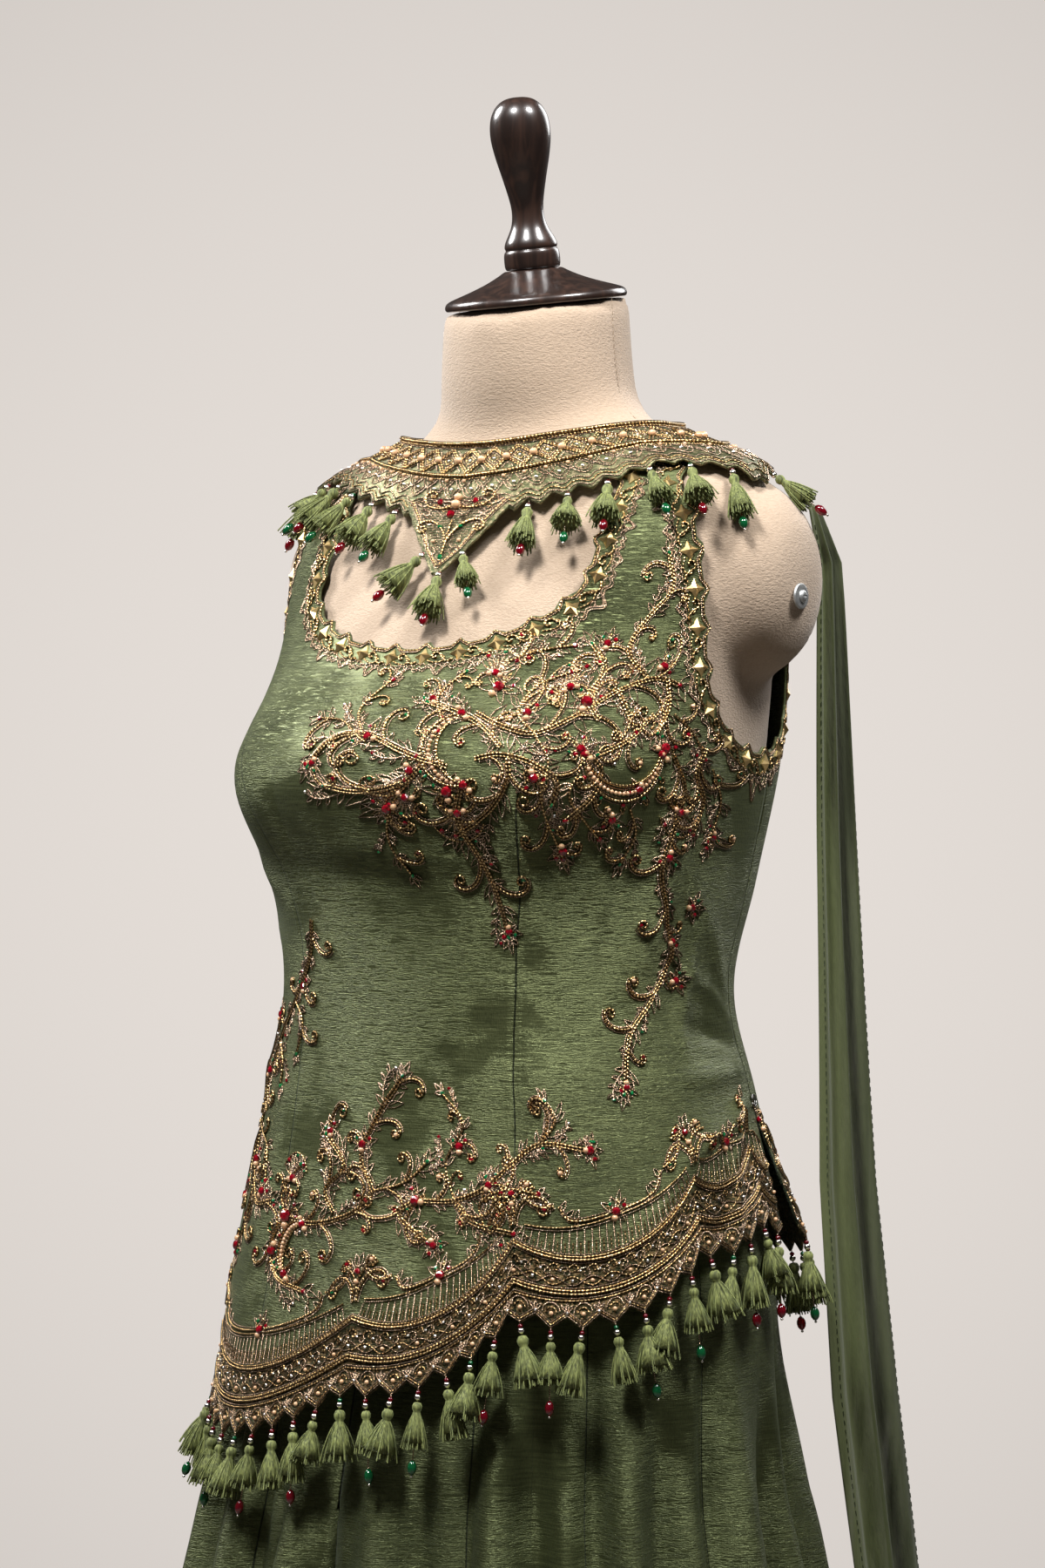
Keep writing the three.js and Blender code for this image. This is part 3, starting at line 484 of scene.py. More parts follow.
# ---- Dress form: shoulder bolts ----
# A cross-head steel screw through a wide washer holds each stump's end plate. The washer sits a
# little into the jersey.
BOLT_BACK = -8                   # from the stump's middle, towards the front
BOLT_DOWN = -10
WASHER_PROFILE = [(0, -0.6), (7.0, -0.6), (7.2, 0.2), (7.0, 0.9), (6.4, 1.15), (3.8, 1.2), (3.5, 1.2),
                  (3.5, 1.0), (0, 1.0)]
SCREW_PROFILE = [(0, 0.9), (3.3, 0.9), (3.5, 1.3), (3.2, 2.2), (2.2, 2.95), (0.9, 3.2), (0, 3.25)]


def zinc_steel():
    tree, finish = new_material("zinc_steel")
    swirl = noise(tree, 620, 3.0)
    return finish(mix(swirl, (0.40, 0.41, 0.41), (0.60, 0.61, 0.60)), swirl * 0.3 + 0.36, Metallic=0.85)


def cross_slot(mesh):
    """Presses the driver's cross into the screw head."""
    for vertex in mesh.vertices:
        x, y, z = vertex.co / MM
        reach = math.hypot(x, y)
        if min(abs(x), abs(y)) < 0.42 and reach < 1.75 and z > 1.5:
            vertex.co.z -= 0.9 * MM * (1 - reach / 1.9)
    return mesh


zinc = zinc_steel()
for side, name in ((1, "left"), (-1, "right")):
    mesh = merged("shoulder_screw_" + name, [turned("washer", WASHER_PROFILE, 40, 1),
                                             cross_slot(turned("screw", SCREW_PROFILE, 48, 2))])
    seat = Vector((side * (STUMP["x"] + STUMP["reach"]), STUMP["y"] + BOLT_BACK, STUMP["z"] + BOLT_DOWN)) * MM
    mesh.transform(Matrix.Translation(seat) @ Matrix(((0, 0, side), (0, side, 0), (1, 0, 0))).to_4x4())
    turn_outward(mesh)
    smooth(mesh)
    bolt = new_object(mesh.name, mesh, zinc)
    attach(bolt, "root")
    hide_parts("shoulder_bolt_" + name)

# ---- Stand ----
# A steel tube screws into a flange under the torso and into a hub on a round steel plate. All of it
# is painted satin black.
POLE_TOP = 847.7
STAND_PARTS = {
    "form_flange": ("under_flange", [(14.3, 831.7), (24, 831.7), (25, 832.2), (43, 842.6), (45, 844.4),
                                     (45, 847.2), (44.4, 847.7), (14.3, 847.7), (14.3, 831.7)]),
    "stand_pole": ("stand_tube", [(0, 10.3), (14, 10.3), (14, 400), (14.05, 401), (14, 402), (14, POLE_TOP),
                                  (0, POLE_TOP)]),
    "stand_hub": ("stand_socket", [(14.3, 10.3), (31.2, 10.3), (32, 11), (32, 13.2), (31, 14.6), (21, 19.6),
                                   (19.4, 21.5), (19, 26.8), (18.2, 28), (14.3, 28), (14.3, 10.3)]),
    "stand_base": ("stand_plate", [(0, 0), (188.5, 0), (190, 1.2), (190, 6.8), (188.8, 8.8), (186, 10),
                                   (0, 10)]),
}


def black_paint():
    tree, finish = new_material("satin_black_paint")
    dust = noise(tree, 14, 5.0)
    return finish(mix(dust, (0.014, 0.014, 0.015), (0.034, 0.033, 0.032)), dust * 0.25 + 0.32,
                  (noise(tree, 380), 0.1, 0.0003), Coat_Weight=0.25)


paint = black_paint()
for node, (name, profile) in STAND_PARTS.items():
    piece = new_object(name, turned(name, profile, 96, 1), paint)
    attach(piece, "root")
    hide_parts(node)


# ---- Sharara ----
# Flared trousers in the same green dupion silk, unlined. Each leg is six gored panels and an inner
# panel, joined in plain seams, and falls from a plain waistband in deep uneven folds.
SIZES = ("z", "half_width", "front", "back", "roundness", "fold", "corner")
CROTCH = 832
SHARARA_HEM = 34
SHARARA = np.array([
    (1098, 125, 98.5, 92.5, 2.25, 0, 0),
    (1050, 138, 106, 104, 2.3, 0.6, 0),
    (960, 155, 115, 118.6, 2.3, 2, 0),
    (900, 160, 121, 122, 2.3, 3, 0),
    (CROTCH, 166, 130, 130, 2.3, 5, 0),
    (700, 190, 156, 156, 2.25, 11, 8),
    (500, 228, 190, 196, 2.2, 17, 16),
    (260, 276, 226, 230, 2.15, 23, 22),
    (SHARARA_HEM, 322, 258, 262, 2.1, 28, 28),
], float)
PANEL_EDGES = (0, 0.12, 0.25, 0.42, 0.61, 0.81, 1)
PANEL_FOLDS = (1.0, 0.75, 1.2, 0.85, 1.1, 0.8)
WAISTBAND = (1136, 1098.3)
LEG_SPLIT = -24
SEAM = 0.3
SILK_THICK = 1.1
RIDGE, TROUGH = 1.7, 2.9         # how far the laid folds are pulled out and pressed in
# Hand-laid folds on a leg: where round it (0 front, 1 back), half-width, height out, and the height
# where each starts; ridges stand out and troughs are negative
LEG_FOLDS = [
    (0.035, 0.020, 5.5, 900), (0.078, 0.017, -4.0, 905), (0.118, 0.010, -2.2, 960), (0.150, 0.022, 6.5, 925),
    (0.196, 0.020, -5.0, 930), (0.228, 0.016, 4.0, 900), (0.262, 0.018, -3.5, 945), (0.300, 0.024, 7.0, 935),
    (0.345, 0.022, -6.0, 925), (0.383, 0.018, 3.6, 880), (0.425, 0.014, -3.0, 950), (0.465, 0.026, 7.5, 940),
    (0.520, 0.022, -5.5, 930), (0.560, 0.020, 4.2, 900), (0.607, 0.014, -2.8, 950), (0.655, 0.026, 6.8, 930),
    (0.710, 0.022, -5.2, 915), (0.755, 0.020, 4.8, 905), (0.806, 0.014, -3.0, 945), (0.850, 0.024, 6.2, 925),
    (0.905, 0.022, -5.0, 915), (0.955, 0.018, 4.0, 895),
]


def leg_sizes(z):
    rows = SHARARA[::-1]
    return {name: np.interp(z, rows[:, 0], rows[:, i]) for i, name in enumerate(SIZES) if i}


def leg_split(z):
    return LEG_SPLIT * np.clip((WAISTBAND[1] - z) / (WAISTBAND[1] - CROTCH), 0, 1)


def smoothstep(x, low, high):
    t = np.clip((x - low) / (high - low), 0, 1)
    return t * t * (3 - 2 * t)


def hand_folds(around, z, side):
    """The laid folds, growing down from where each starts and wandering a little on the way."""
    total = np.zeros(np.broadcast(around, z).shape)
    low = 1.0 + 0.5 * np.clip((CROTCH - z) / 500, 0, 1)
    for number, (place, width, height, top) in enumerate(LEG_FOLDS):
        drop = smoothstep(top - z, 0, 130)
        wander = 0.006 * np.sin(z / 95 + number * 1.9 + side)
        off = (around - place - wander) / (width * (0.75 + 0.45 * drop))
        total = total + (RIDGE if height > 0 else TROUGH) * height * drop * low * np.exp(-(off ** 2))
    return total


def leg_surface(side, around, z, out=0.0):
    sizes = leg_sizes(z)
    angle = around * math.pi
    exponent = 2 / sizes["roundness"]
    inner = leg_split(z) + side * (SEAM / 2 + sizes["corner"])
    width = sizes["half_width"] - side * inner
    depth = np.where(np.cos(angle) > 0, sizes["front"], sizes["back"])
    edges = np.array(PANEL_EDGES)
    panel = np.clip(np.searchsorted(edges, around, side="right") - 1, 0, len(PANEL_FOLDS) - 1)
    across = (around - edges[panel]) / (edges[panel + 1] - edges[panel])
    fold = sizes["fold"] * (np.array(PANEL_FOLDS)[panel] * np.sin(across * math.pi) ** 2 - 0.5)
    ends = np.clip(np.minimum(around, 1 - around) / 0.03, 0, 1)
    fold = fold + hand_folds(around, z, side) * ends + out
    outward = unit(np.stack([side * np.sin(angle) / width, -np.cos(angle) / depth], axis=-1))
    x = inner + side * width * np.abs(np.sin(angle)) ** exponent + outward[..., 0] * fold
    y = -depth * power(np.cos(angle), exponent) + outward[..., 1] * fold
    return np.stack([x, y, z + 0 * around], axis=-1) * MM


def inner_surface(side, share, z):
    """The inner leg, flat between the front and back centre seams and rounded into them."""
    start, end = leg_surface(side, np.zeros_like(z), z), leg_surface(side, np.ones_like(z), z)
    y = end[..., 1] + (start[..., 1] - end[..., 1]) * share
    edge = np.abs(2 * share - 1) ** 4
    ripple = 2.5 * np.sin(share * 5.5 * math.pi) * np.clip((CROTCH - z) / 400, 0, 1) * (1 - edge)
    x = leg_split(z) + side * (SEAM / 2 + 0.9 + leg_sizes(z)["corner"] * edge + np.abs(ripple))
    return np.stack([x * MM, y, z * MM + 0 * share], axis=-1)


def thicken(piece, thickness, offset):
    shell = piece.modifiers.new("cloth thickness", "SOLIDIFY")
    shell.thickness = thickness * MM
    shell.offset = offset
    shell.use_even_offset = False
    return apply_modifiers(piece)


def add_attribute(mesh, name, kind, values):
    data = mesh.attributes.new(name, kind, "POINT").data
    data.foreach_set("vector" if kind == "FLOAT_VECTOR" else "value", np.asarray(values, float).ravel())


def dupion_silk(name, light, dark, crinkle, work=((0, 0, 0), (1, 1, 1))):
    """Plain-woven silk with slubs across and fine crushed creases. Its seams lie where the attribute
    "seam", the distance to one in millimetres, is zero. Where the attribute "worked" is positive the
    ground is filled with chips in two colours: bright chips of metal thread, and dark ones that are
    painted shade between the dense cords of the embroidery."""
    tree, finish = new_material(name)
    cloth = put(tree, "Group", node_tree=dupion_weave).socket.node
    cloth.inputs["Crinkle"].default_value = crinkle
    tone, slub, relief = (Value(cloth.outputs[key]) for key in ("Tone", "Slub", "Relief"))
    seam = put(tree, "Attribute", attribute_name="seam", out="Fac").math("ABSOLUTE")
    # Along each seam the colour goes nearly black: painted shade in the seam's groove.
    open_cloth = ((seam - 0.12) * 2.2).clamped()
    chips = put(tree, "TexVoronoi", Vector=mapped(tree, 820), Scale=1.0, out="Color")
    bright = put(tree, "SeparateColor", chips, out="Red")
    worked = (put(tree, "Attribute", attribute_name="worked", out="Fac") * 0.75).clamped()
    # The dark chip colour is painted shade between the cords; the bright one is metal thread.
    ground = mix(worked, mix(tone, dark, light), mix(bright.math("POWER", 2.0), *work))
    puckered = (seam * -1.0 + 4.5).clamped() * slub
    height = relief + puckered * 0.25 + open_cloth * 0.35 + worked * (bright * 0.55)
    return finish(mix(open_cloth, (0.010, 0.014, 0.006), ground), slub * 0.24 + 0.30, (height, 0.9, 0.0012),
                  Metallic=worked * 0.2 + 0.7, Sheen_Weight=0.1, Sheen_Roughness=0.4,
                  Sheen_Tint=(0.75, 0.86, 0.62))


def new_tree(name, kind, inputs, outputs):
    """A node group with inputs and outputs as {name: type}: its tree, its inputs and its end."""
    tree = bpy.data.node_groups.new(name, kind + "NodeTree")
    for way, sockets in (("INPUT", inputs), ("OUTPUT", outputs)):
        for key, socket_type in sockets.items():
            tree.interface.new_socket(key, in_out=way, socket_type="NodeSocket" + socket_type)
    source = tree.nodes.new("NodeGroupInput")
    return tree, {s.name: Value(s) for s in source.outputs if s.name}, tree.nodes.new("NodeGroupOutput")


def build_dupion_weave():
    tree, inputs, end = new_tree("dupion weave", "Shader", {"Crinkle": "Float"},
                                 {"Tone": "Float", "Slub": "Float", "Relief": "Float"})
    slub = noise(tree, (55, 55, 900), 3.0, Roughness=0.65)
    warp = noise(tree, (1500, 1500, 420))
    crease = noise(tree, (95, 95, 820), 3.0, Roughness=0.6, Distortion=0.45)
    ridge = ((crease - 0.5).math("ABSOLUTE") * -8.0 + 1.0).clamped()
    patch = noise(tree, 16, 3.0)
    relief = ridge * ((patch - 0.35).clamped() * 2.6).clamped() * inputs["Crinkle"]
    # The crinkle lines are painted darker as well as raised: painted shade in the creases.
    tone = slub * 0.75 + warp * 0.35 + patch * 0.18 - relief * 0.25
    fill(end, ((tone - 0.3) * 1.25).clamped(), slub, relief + (slub * 0.24 + warp * 0.20))
    return tree


def sharara_leg(side, name):
    heights = np.concatenate([np.linspace(1098, 900, 20), np.linspace(895, 700, 34)[:-1],
                              np.linspace(700, SHARARA_HEM, 38)])
    around = np.linspace(0, 1, 132)
    outer = leg_surface(side, around[None, :], heights[:, None])
    below = heights[heights <= CROTCH]
    inner = inner_surface(side, np.linspace(0, 1, 26)[None, :], below[:, None]).reshape(-1, 3)
    faces = grid_faces(len(heights), len(around), flip=side < 0)
    start = outer.shape[0] * outer.shape[1]
    faces += [[start + i for i in quad] for quad in grid_faces(len(below), 26, flip=side < 0)]
    mesh = make_mesh(name, np.concatenate([outer.reshape(-1, 3), inner]), faces)
    girth = np.linalg.norm(np.diff(outer, axis=1), axis=2).sum(axis=1) / MM
    edges = np.array(PANEL_EDGES)
    from_seam = around - edges[np.argmin(np.abs(around[:, None] - edges), axis=1)]
    seams = np.concatenate([(from_seam * girth[:, None]).ravel(), np.full(len(inner), 9.0)])
    add_attribute(mesh, "seam", "FLOAT", seams)
    with reshaping(mesh) as model:
        bmesh.ops.remove_doubles(model, verts=[v for v in model.verts if v.is_boundary], dist=0.0016)
    smooth(mesh)
    return thicken(new_object(name, mesh, sharara_silk), SILK_THICK, -1)


def level_of(z):
    """The level of a height below the armpit, where the kurti's rings are flat."""
    levels = np.linspace(9, BODY_END, 400)
    return np.interp(-z, -ring_values(BODY, levels)["z_side"], levels)


dupion_weave = build_dupion_weave()
sharara_silk = dupion_silk("sharara_silk", (0.150, 0.172, 0.068), (0.034, 0.041, 0.015), 0.8)
for side, name in ((1, "left"), (-1, "right")):
    leg = sharara_leg(side, f"sharara_{name}_leg")
    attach(leg, "root")
    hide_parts(f"sharara_{name}_inner",
                *(f"sharara_{name}_panel_{i}" for i in range(1, len(PANEL_EDGES))))

band_levels = level_of(np.linspace(*WAISTBAND, 12))
band_turns = np.linspace(0, 2 * math.pi, 140, endpoint=False)
band_mesh = make_mesh("sharara_band", on_form(band_turns[None, :], band_levels[:, None], 1.4 * MM),
                      grid_faces(12, 140, closed=True))
add_attribute(band_mesh, "seam", "FLOAT", np.full(len(band_mesh.vertices), 9.0))
smooth(band_mesh)
band = thicken(new_object("sharara_band", band_mesh, sharara_silk), 1.8, 1)
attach(band, "root")
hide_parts("sharara_waistband")


# ---- Kurti ----
# A fitted sleeveless tunic in crushed green dupion silk. The front is three panels with princess
# seams from the armholes, the back is one, and the left side is open below a hook. Its neck,
# armhole and hem edges are cut in points round the embroidery and left raw.
SIDE_SEAM = math.radians(106)
SLIT_TOP = 1042
NECKLINE = dict(half_width=93, straight_to=1340, front=1298, back=1352)
ARMHOLE = dict(from_x=121, front=-20, back=88, bottom=1241, straight_from=1287, lean_from=1358, lean=0.15)
PRINCESS = np.array([(1293, 152), (1279, 128), (1250, 104), (1222, 93), (1180, 81), (1140, 73), (1090, 72),
                     (1040, 75), (990, 79), (940, 85), (800, 98)], float)
# The hem hangs in swags: the angle and height of each point between two swags, and the sag after it
HEM_POINTS = np.array([(-106, 874, 10), (-57, 880, 22), (-3, 897, 12), (27, 943, 16), (73.5, 974, 6),
                       (97.5, 987, 1), (106, 976, 7), (142, 964, 8), (180, 944, 9), (218, 917, 9),
                       (254, 876, 0)], float)
KURTI_TOP = 3.4                  # level where the shoulder straps end, under the collar
TOOTH = 17.0                     # a point of the hem's cut edge
TOOTH_DEPTH = 6.5
STUD_PITCH = 21.5                # the neck and armhole edges peak at each stud
STUD_PEAK = 4.4
KURTI_THICK = 1.2
# The filled ground is chips of metal thread over painted shade between the cords.
WORKED_HEM = 35                  # height of the filled ground above the hem
# Soft creases in the worn cloth: from (angle in degrees, height) to the same, width, height out
CREASES = [
    (103, 1096, 70, 1146, 5, 2.8), (104, 1080, 76, 1098, 5, -2.4), (103, 1066, 62, 1064, 5, 3.0),
    (103, 1110, 80, 1180, 6, 2.4), (102, 1050, 70, 1022, 5, 3.0), (100, 1036, 80, 985, 6, -2.6),
    (94, 1048, 85, 968, 5, 3.0), (78, 1215, 68, 1130, 10, 3.2), (62, 1206, 54, 1110, 11, -2.4),
    (88, 1150, 80, 1080, 7, 3.2), (84, 1040, 62, 1000, 9, 3.0), (48, 1070, 20, 1062, 16, 2.2),
    (40, 1012, 14, 1000, 14, 2.0),
    (45, 1196, 42, 1128, 8, 1.6), (-12, 1192, 26, 1184, 7, 1.3), (-30, 1180, 14, 1168, 6, -1.2),
    (-62, 1188, -34, 1162, 8, 1.6), (-94, 1120, -58, 1142, 9, 2.2), (-96, 1098, -60, 1090, 8, -2.0),
    (-92, 1072, -52, 1060, 9, 2.2), (30, 1120, 44, 985, 13, 1.8), (8, 1090, 16, 960, 14, -1.8),
    (-30, 1085, -38, 930, 14, 1.7), (70, 1260, 88, 1232, 6, 1.5), (150, 1120, 205, 1096, 10, 2.4),
    (150, 1090, 212, 1110, 9, -2.2), (160, 1066, 200, 1058, 10, 2.4), (165, 1270, 168, 1150, 15, 1.8),
    (196, 1270, 192, 1150, 15, 1.8), (181, 1240, 180, 1130, 16, -2.0), (140, 1040, 150, 980, 12, 2.0),
    (210, 1040, 214, 930, 13, 2.2), (236, 1110, 250, 1080, 9, 2.0),
]


def eased(rings):
    rings = rings.copy()
    for column, ease in (("half_width", "ease_side"), ("front", "ease_front"), ("back", "ease_back")):
        rings[:, COLUMNS.index(column)] += rings[:, COLUMNS.index(ease)]
    return rings


KURTI = eased(BODY)
on_kurti = surface(KURTI, 0.72)


def creased(angle, z):
    """Height of the worn creases at an angle and a height."""
    around = np.degrees(angle) * 2.35
    total = np.zeros(np.broadcast(angle, z).shape)
    for start, start_z, end, end_z, width, height in CREASES:
        a, b = np.array([start * 2.35, start_z]), np.array([end * 2.35, end_z])
        run = b - a
        share = np.clip(((around - a[0]) * run[0] + (z - a[1]) * run[1]) / (run @ run), 0, 1)
        off = np.hypot(around - a[0] - share * run[0], z - a[1] - share * run[1])
        total = total + height * (0.35 + 0.65 * np.sin(share * math.pi)) * np.exp(-((off / width) ** 2))
    return total


def kurti_cloth(angle, level, out=0.0):
    """A point of the worn kurti. At the left slit the front edge draws back and the back flap swings out."""
    angle, level = np.broadcast_arrays(np.asarray(angle, float), np.asarray(level, float))
    z = ring_values(KURTI, level)["z_side"]
    slit = np.clip((SLIT_TOP - z) / 70, 0, 1)
    behind = angle > SIDE_SEAM
    near_front = smoothstep(angle, math.radians(70), SIDE_SEAM)
    near_back = 1 - smoothstep(angle, SIDE_SEAM, math.radians(150))
    turn = np.where(behind, math.radians(2) * near_back, -math.radians(4) * near_front) * slit
    lift = np.where(behind, 10 * near_back, 3 * near_front) * slit
    lift = lift + np.maximum(creased(angle, z), -2.4) + 1.0
    return on_kurti(angle + turn, level, out + lift * MM)


def level_at(angle, z, rings=KURTI, bridge=0.72):
    """The level where a surface has a given height, at an angle."""
    angle, z = np.broadcast_arrays(np.asarray(angle, float), np.asarray(z, float))
    low, high = np.full(z.shape, 3.0), np.full(z.shape, float(BODY_END))
    for _ in range(26):
        middle = (low + high) / 2
        above = surface_point(rings, bridge, angle, middle)[..., 2] > z * MM
        low, high = np.where(above, middle, low), np.where(above, high, middle)
    return low


def hem_height(angle):
    degrees = np.degrees(angle)
    swag = np.clip(np.searchsorted(HEM_POINTS[:, 0], degrees) - 1, 0, len(HEM_POINTS) - 2)
    start, end = HEM_POINTS[swag], HEM_POINTS[swag + 1]
    share = (degrees - start[..., 0]) / (end[..., 0] - start[..., 0])
    level = start[..., 1] + (end[..., 1] - start[..., 1]) * share
    return level - start[..., 2] * (1 - (2 * share - 1) ** 2)


def neck_field(point):
    """Positive on the cloth and negative in the neck opening, about in millimetres."""
    x, y, z = np.moveaxis(point / MM, -1, 0)
    bottom = np.where(y < 27, NECKLINE["front"], NECKLINE["back"])
    drop = np.maximum(NECKLINE["straight_to"], bottom + 20) - bottom
    below = np.minimum(z - bottom - drop, 0)
    return (np.hypot(x / NECKLINE["half_width"], below / drop) - 1) * drop


def arm_field(point):
    x, y, z = np.moveaxis(point / MM, -1, 0)
    lean = ARMHOLE["lean"] * np.maximum(z - ARMHOLE["lean_from"], 0)
    half = (ARMHOLE["back"] - ARMHOLE["front"]) / 2
    below = np.minimum(z - ARMHOLE["straight_from"], 0) / (ARMHOLE["straight_from"] - ARMHOLE["bottom"])
    across = (y - ARMHOLE["front"] - half) / (half - lean)
    return np.maximum(ARMHOLE["from_x"] - np.abs(x), (np.hypot(across, below) - 1) * half)


def run_length(points):
    """How far along a line each of its points is."""
    return np.concatenate([[0], np.cumsum(np.linalg.norm(np.diff(points, axis=0), axis=1))])


class Edge:
    """A cut edge on the cloth, at every millimetre: its angles and levels, and the step of each that
    takes one millimetre into the cloth."""

    def __init__(self, field, centre, directions, top, opening):
        angles, levels = self.trace(field, centre, np.radians(directions))
        inside = kurti_cloth(angles, levels)[:, 2] < top
        angles, levels = angles[inside], levels[inside]
        for _ in range(6):
            for line in (angles, levels):
                line[1:-1] = (line[:-2] + 2 * line[1:-1] + line[2:]) / 4
        length = run_length(kurti_cloth(angles, levels)) / MM
        self.length = length[-1]
        self.s = np.linspace(0, self.length, int(self.length) + 1)
        self.angles, self.levels = np.interp(self.s, length, angles), np.interp(self.s, length, levels)
        self.points = kurti_cloth(self.angles, self.levels)
        small = 0.004
        step = lambda a, b: (kurti_cloth(self.angles + a, self.levels + b)
                             - kurti_cloth(self.angles - a, self.levels - b)) / (2 * small)
        by_angle, by_level = step(small, 0), step(0, small)
        normals = unit(np.cross(by_level, by_angle))
        self.across = unit(np.cross(unit(np.gradient(self.points, axis=0)), normals))
        if np.median(np.sum((self.points - opening) * self.across, axis=1)) < 0:
            self.across = -self.across
        self.inward = np.array([np.linalg.lstsq(grid, across * MM, rcond=None)[0]
                                for grid, across in zip(np.stack([by_angle, by_level], axis=-1), self.across)])

    @staticmethod
    def trace(field, centre, directions):
        """Walks out from inside the opening until the field turns positive."""
        reach = np.linspace(0, 190, 381)
        angles = centre[0] + np.sin(directions)[:, None] * reach / 120
        levels = np.clip(centre[1] - np.cos(directions)[:, None] * reach / 26, KURTI_TOP - 0.6, BODY_END)
        values = field(kurti_cloth(angles, levels))
        first = np.maximum(np.argmax(values > 0, axis=1), 1)
        rows = np.arange(len(directions))
        before, after = values[rows, first - 1], values[rows, first]
        share = before / (before - after)
        return [grid[rows, first - 1] + share * (grid[rows, first] - grid[rows, first - 1])
                for grid in (angles, levels)]

    def place(self, s, t, out=0.0):
        """The cloth at s millimetres along the edge and t into the cloth."""
        a = np.interp(s, self.s, self.angles) + t * np.interp(s, self.s, self.inward[:, 0])
        b = np.interp(s, self.s, self.levels) + t * np.interp(s, self.s, self.inward[:, 1])
        return kurti_cloth(a, b, out * MM)

    def peak(self, s):
        """How far the cut edge stands out into the opening, most at each stud."""
        from_stud = np.abs((s / STUD_PITCH + 0.5) % 1 - 0.5) * 2
        return STUD_PEAK * np.maximum(1 - from_stud * 2.1, 0) + 1.3

    def field(self, points):
        """Distance into the cloth from the pointed edge, in millimetres, for the cloth near it."""
        values = np.full(len(points), 9.0)
        lowest, highest = self.points.min(0) - 0.02, self.points.max(0) + 0.02
        near = np.where(np.all((points > lowest) & (points < highest), axis=1))[0]
        gap = np.linalg.norm(points[near][:, None, :] - self.points[None, ::3, :], axis=2)
        closest = np.argmin(gap, axis=1) * 3
        offset = np.sum((points[near] - self.points[closest]) * self.across[closest], axis=1) / MM
        values[near] = offset + self.peak(self.s[closest])
        return values


def trim(model, field):
    """Cuts the cloth away where the field is negative, along a clean edge."""
    model.verts.index_update()
    value = dict(zip(model.verts, field(np.array([v.co for v in model.verts]))))
    fresh = []
    for edge in [e for e in model.edges if value[e.verts[0]] * value[e.verts[1]] < 0]:
        a, b = edge.verts
        _, vertex = bmesh.utils.edge_split(edge, a, value[a] / (value[a] - value[b]))
        value[vertex] = 0.0
        fresh.append(vertex)
    new = set(fresh)
    for face in dict.fromkeys(f for v in fresh for f in v.link_faces):
        cut = [v for v in face.verts if v in new]
        if len(cut) == 2 and not any(cut[1] in e.verts for e in cut[0].link_edges):
            bmesh.utils.face_split(face, *cut)
    bmesh.ops.delete(model, geom=[v for v in model.verts if value[v] < 0], context="VERTS")


def away_from(field):
    """Leaves out what lies well inside an opening, where an edge's own field can't tell."""
    return lambda points: np.where(field(points) < -7, -1.0, 9.0)


NECK_CENTRE = np.array([0, 0.02, 1.36])
neck_directions = np.linspace(98, 262, 240)
necks = {"front": Edge(neck_field, (0.0, 4.2), neck_directions, 1.402, NECK_CENTRE),
         "back": Edge(neck_field, (math.pi, 3.9), neck_directions, 1.405, NECK_CENTRE)}
arms = {side: Edge(arm_field, (side * math.radians(97), 7.0), np.linspace(22, 338, 420), 1.400,
                   np.array([side * 0.16, 0.034, 1.33])) for side in (1, -1)}


def hem_line(first, last):
    """The hem's angles, the distance along it at each, and how many teeth it has."""
    angles = np.linspace(first, last, 2000)
    length = run_length(kurti_cloth(angles, level_at(angles, hem_height(angles)))) / MM
    return angles, length, round(length[-1] / TOOTH)


TOOTH_COLUMNS = {"front": 6, "back": 4}
hems = {"front": hem_line(-SIDE_SEAM + 0.001, SIDE_SEAM - 0.001),
        "back": hem_line(SIDE_SEAM + 0.001, 2 * math.pi - SIDE_SEAM - 0.001)}


def tooth_drop(share):
    """Depth of the pointed hem at a share of one tooth."""
    return TOOTH_DEPTH * (1 - np.abs(2 * share - 1)) - TOOTH_DEPTH / 2


def kurti_grid(half):
    angles, length, teeth = hems[half]
    columns = teeth * TOOTH_COLUMNS[half] + 1
    s = np.linspace(0, length[-1], columns)
    turn = np.interp(s, length, angles)
    upper = np.linspace(KURTI_TOP, 10, 52)
    z = ring_values(KURTI, np.array(10.0))["z_side"]
    share = np.linspace(0, 1, 68)[1:]
    drop = tooth_drop((s / length[-1] * teeth) % 1) * smoothstep(share, 0.94, 1)[:, None]
    lower = level_at(turn[None, :], z + (hem_height(turn)[None, :] - z) * share[:, None] - drop)
    levels = np.concatenate([np.broadcast_to(upper[:, None], (len(upper), columns)), lower])
    return kurti_cloth(np.broadcast_to(turn, levels.shape), levels)


